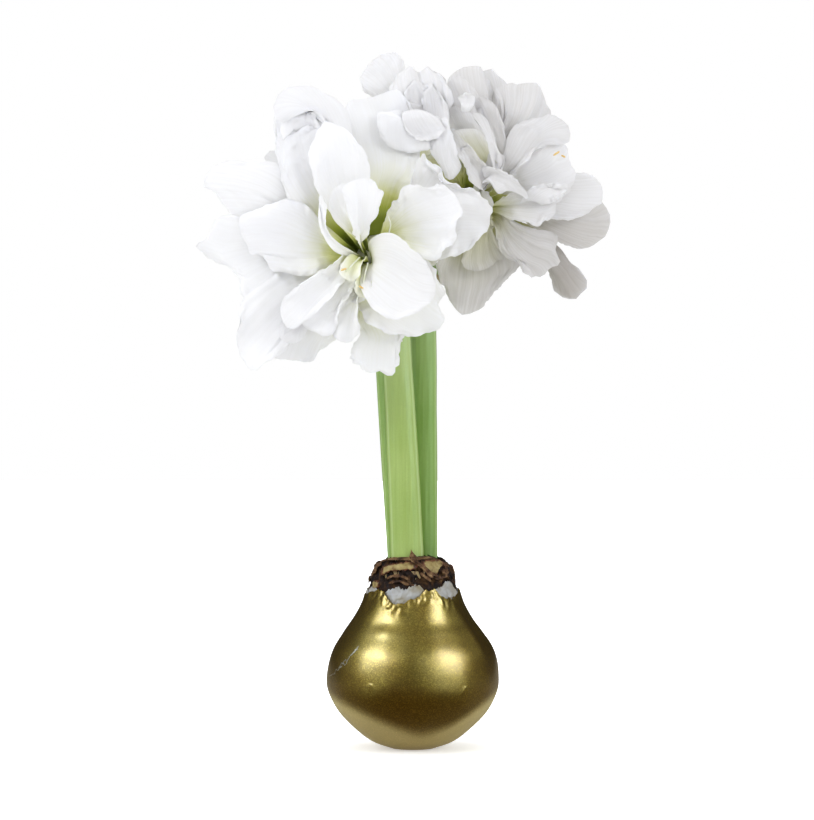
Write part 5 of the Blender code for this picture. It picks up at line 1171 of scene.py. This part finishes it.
# (distance along it, radius) of the floral tube, a fluted funnel from the ovary to where the petals part
FUNNEL = [(0.0, 4.9), (5.0, 6.4), (10.0, 8.2), (17.0, 10.8)]
FUNNEL_ROWS = 30
FUNNEL_SIDES = 60
run = np.linspace(0.0, FUNNEL[-1][0], FUNNEL_ROWS)
funnel = smooth_line(FUNNEL)
size = np.interp(run, funnel[:, 0], funnel[:, 1])
angle = round_angles(FUNNEL_SIDES)
up = np.linspace(0.0, 1.0, FUNNEL_ROWS + 2)[:, None]
for key, designs in PETALS.items():
    bloom = BLOOMS[key]
    grids, uvs, fars, painted_shades = [], [], [], []
    for number, design in enumerate(designs):
        surface, distance, s, t = petal_surface(bloom, design, number + 1 + 40 * len(key))
        grids.append(closed_sheet(surface, PETAL_THICKNESS))
        uvs.append(sheet_values(uv_grid(s * 0.5 + number * 1.7, t)))
        fars.append(sheet_values((distance - GREEN[key][0]) / GREEN[key][1]))
        painted_shades.append(np.full(fars[-1].shape, max(BLOOM_PAINTED_SHADE[key] + design["grey"], 0.0)))
    line = np.array(bloom["throat"]) + (run[:, None] - TUBE_LENGTH) * unit(bloom["axis"])
    grids.append(swept(line, size, size, FUNNEL_SIDES, 0.03 * size[:, None] * np.cos(6.0 * angle)))
    uvs.append(uv_grid(angle, up))
    fars.append(0.40 + 0.15 * up + 0.0 * angle)
    painted_shades.append(np.full(fars[-1].shape, BLOOM_PAINTED_SHADE[key]))
    rosette = make_piece("white_bloom_" + key, grids, petal_skin, uvs=uvs, wrap=True,
                         attributes={"far": fars, "grey": painted_shades})
    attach(rosette, "root")
    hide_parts("bloom_" + key)

# Stamens -----------------------------------------------------------------------------------------------
# Most stamens of a double bloom have turned to petals. A few keep a yellow anther at the tip of a small
# petal or of a white thread.

# (bloom, place of the anther from the throat, way it lies, length)
ANTHERS = [("left", (-12.8, -31.5, -12.6), (0.9, -0.2, 0.3), 3.2),
           ("left", (-3.2, -31.5, -22.4), (0.8, -0.3, -0.5), 2.8),
           ("right", (41.0, -19.5, 21.2), (0.8, -0.2, 0.5), 4.2),
           ("right", (44.8, -18.5, 19.6), (0.7, -0.3, -0.4), 2.6)]
# (bloom, points of the thread from the throat, radius)
THREADS = [("left", [(12.2, -24.0, 8.0), (12.9, -28.0, 12.5), (11.6, -30.5, 16.6)], 0.42),
           ("left", [(0.5, -22.0, -9.0), (-1.5, -27.0, -17.0), (-2.2, -28.0, -23.6)], 0.45),
           ("left", [(-4.0, -20.0, -6.0), (-9.5, -26.0, -11.5), (-11.6, -28.6, -13.8)], 0.5)]
ANTHER_RADIUS = 0.62
THREAD_SIDES = 16

pollen, tree, shader, place = new_material("yellow anther")
dust = grain(tree, place, 1400.0, 3.0, 0.6)
connect(shader, {"Base Color": ramp(tree, dust, [(0.3, (0.60, 0.36, 0.10)), (0.55, (0.84, 0.60, 0.22)),
                                                 (0.75, (0.92, 0.80, 0.48))]),
                 "Roughness": 0.8, "Normal": bump(tree, dust, 0.8, 0.0003)})

run = np.linspace(-1.0, 1.0, 18)
size = ANTHER_RADIUS * np.sqrt(np.clip(1.0 - np.abs(run) ** 3, 0.03, 1.0))
groove = -0.13 * np.abs(np.cos(round_angles(THREAD_SIDES))) * size[:, None]
bow = np.array((0.0, -0.35, 0.0)) * (1.0 - run[:, None] ** 2)
capsules = []
for key, place_at, way, length in ANTHERS:
    middle = seen_at(np.array(BLOOMS[key]["throat"]) + np.array(place_at))
    line = middle + run[:, None] * unit(way) * length / 2 + bow
    capsules.append(swept(line, size, size, THREAD_SIDES, groove))
anthers = make_piece("yellow_anthers", capsules, pollen, wrap=True)
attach(anthers, "root")

filament, tree, shader, place = new_material("white filament")
cloud = grain(tree, place, 400.0)
connect(shader, {"Base Color": ramp(tree, cloud, [(0.3, (0.78, 0.82, 0.55)), (0.6, (0.90, 0.91, 0.84))]),
                 "Roughness": ramp(tree, cloud, [(0.3, 0.4), (0.7, 0.55)])})
strings = []
for key, route, radius in THREADS:
    line = seen_at(smooth_line(np.array(route) + np.array(BLOOMS[key]["throat"]), 24))
    size = radius * (1.0 - 0.35 * np.linspace(0.0, 1.0, 24))
    strings.append(swept(line, size, size, THREAD_SIDES))
filaments = make_piece("white_filaments", strings, filament, wrap=True)
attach(filaments, "root")

# Studio ------------------------------------------------------------------------------------------------
# A plain white table in a white room, with two soft boxes in front and a wide soft light above. What
# shines mirrors a painted reflection: the table top glows to reflections alone, dark close in front of the
# bulb as painted shade and warm further off, and two bright windows in a dim room.

FLOOR_HALF = 6.0
FLOOR_LEVEL = -0.0002

floor_material, tree, shader, place = new_material("white table")
path = node(tree, "ShaderNodeLightPath").outputs
far = node(tree, "ShaderNodeVectorMath", {0: place}, operation="LENGTH").outputs["Value"]
glow = ramp(tree, far, [(0.03, 0.42), (0.16, 1.2)])
connect(shader, {"Base Color": rgba(0.9), "Roughness": 0.8, "Specular IOR Level": 0.2,
                 "Emission Color": rgba(1.0), "Emission Strength": scaled(tree, glow, path["Is Camera Ray"])})
# painted reflection: to reflection rays the table glows, dark near the bulb's front as painted shade,
# brighter further off, and warm and bright behind
before = ramp(tree, far, [(0.052, (0.12, 0.072, 0.015)), (0.075, (0.14, 0.095, 0.03)),
                          (0.13, (0.19, 0.16, 0.09)), (0.32, (0.28, 0.26, 0.18))])
past = ramp(tree, scaled(tree, dot(tree, place, (0.0, 1.0, 0.0)), 4.0, 0.5), [(0.22, 0.0), (0.62, 1.0)])
mirrored = node(tree, "ShaderNodeEmission", {"Color": mix(tree, past, before, (0.34, 0.31, 0.24))})
split = node(tree, "ShaderNodeMixShader",
             {0: path["Is Glossy Ray"], 1: shader.outputs[0], 2: mirrored.outputs[0]})
connect(tree.nodes["Material Output"], {"Surface": split.outputs[0]})
floor_mesh = bpy.data.meshes.new("white_table")
corners = [(FLOOR_HALF * x, FLOOR_HALF * y, FLOOR_LEVEL) for x, y in ((-1, -1), (1, -1), (1, 1), (-1, 1))]
floor_mesh.from_pydata(corners, [], [(0, 1, 2, 3)])
floor_mesh.materials.append(floor_material)
floor = bpy.data.objects.new("white_table", floor_mesh)
bpy.context.scene.collection.objects.link(floor)

world = bpy.data.worlds.new("white room")
bpy.context.scene.world = world
world.use_nodes = True
tree = world.node_tree
tree.nodes.clear()
path = node(tree, "ShaderNodeLightPath").outputs
look = node(tree, "ShaderNodeTexCoord").outputs["Generated"]
behind = ramp(tree, dot(tree, look, (0.0, 1.0, 0.0)),
              [(0.0, (0.11, 0.11, 0.10)), (0.45, (0.07, 0.062, 0.045)), (0.95, (0.03, 0.022, 0.012))])
room = shaded(tree, 1.0, behind, dot(tree, look, (0.0, 0.0, 1.0)), [(0.0, 0.62), (0.5, 1.2)])
for toward in ((-0.71, -0.42, 0.57), (0.71, -0.51, 0.48)):
    window = ramp(tree, dot(tree, look, toward),
                  [(0.87, 0.0), (0.93, (1.15, 1.42, 2.0)), (0.965, (5.4, 6.9, 10.4))])
    room = mix(tree, 1.0, room, window, "ADD")
seen, lit, mirrored = (
    node(tree, "ShaderNodeBackground", {"Color": colour, "Strength": strength}).outputs[0]
    for colour, strength in ((rgba(1.0), 1.0), ((0.98, 0.985, 1.0, 1.0), 0.765), (room, 1.0)))
inner = node(tree, "ShaderNodeMixShader", {0: path["Is Glossy Ray"], 1: lit, 2: mirrored})
outer = node(tree, "ShaderNodeMixShader", {0: path["Is Camera Ray"], 1: inner.outputs[0], 2: seen})
node(tree, "ShaderNodeOutputWorld", {"Surface": outer.outputs[0]})

# (name, where it stands, where it points, width and height, power in watts)
LIGHTS = [
    ("left_softbox", (-1.05, -0.70, 0.92), (0.0, 0.0, 0.05), 0.50, 6.0),
    ("right_softbox", (1.14, -0.85, 0.82), (0.0, 0.0, 0.05), 0.50, 5.0),
    ("overhead", (-0.2, 0.15, 1.7), (0.0, 0.0, 0.2), 1.0, 4.0),
]
for name, place_at, aim, width, power in LIGHTS:
    data = bpy.data.lights.new(name, "AREA")
    data.size = width
    data.energy = power
    lamp = bpy.data.objects.new(name, data)
    lamp.location = place_at
    way = unit(np.subtract(aim, place_at))
    lamp.rotation_euler = (math.acos(-way[2]), 0.0, math.atan2(way[1], way[0]) - math.pi / 2)
    bpy.context.scene.collection.objects.link(lamp)

VIEW_HEIGHT = 0.451        # metres that the view takes in at the bulb, from its foot to its top
view_x, view_far, view_z = (part * MM for part in VIEW_FROM)
camera_data = bpy.data.cameras.new("camera")
camera_data.sensor_width = 36.0
camera_data.lens = camera_data.sensor_width * view_far / VIEW_HEIGHT
camera = bpy.data.objects.new("camera", camera_data)
camera.location = (view_x, -view_far, view_z)
camera.rotation_euler = (math.radians(90.0), 0.0, 0.0)
bpy.context.scene.collection.objects.link(camera)
bpy.context.scene.camera = camera
bpy.context.scene.view_settings.view_transform = "Standard"
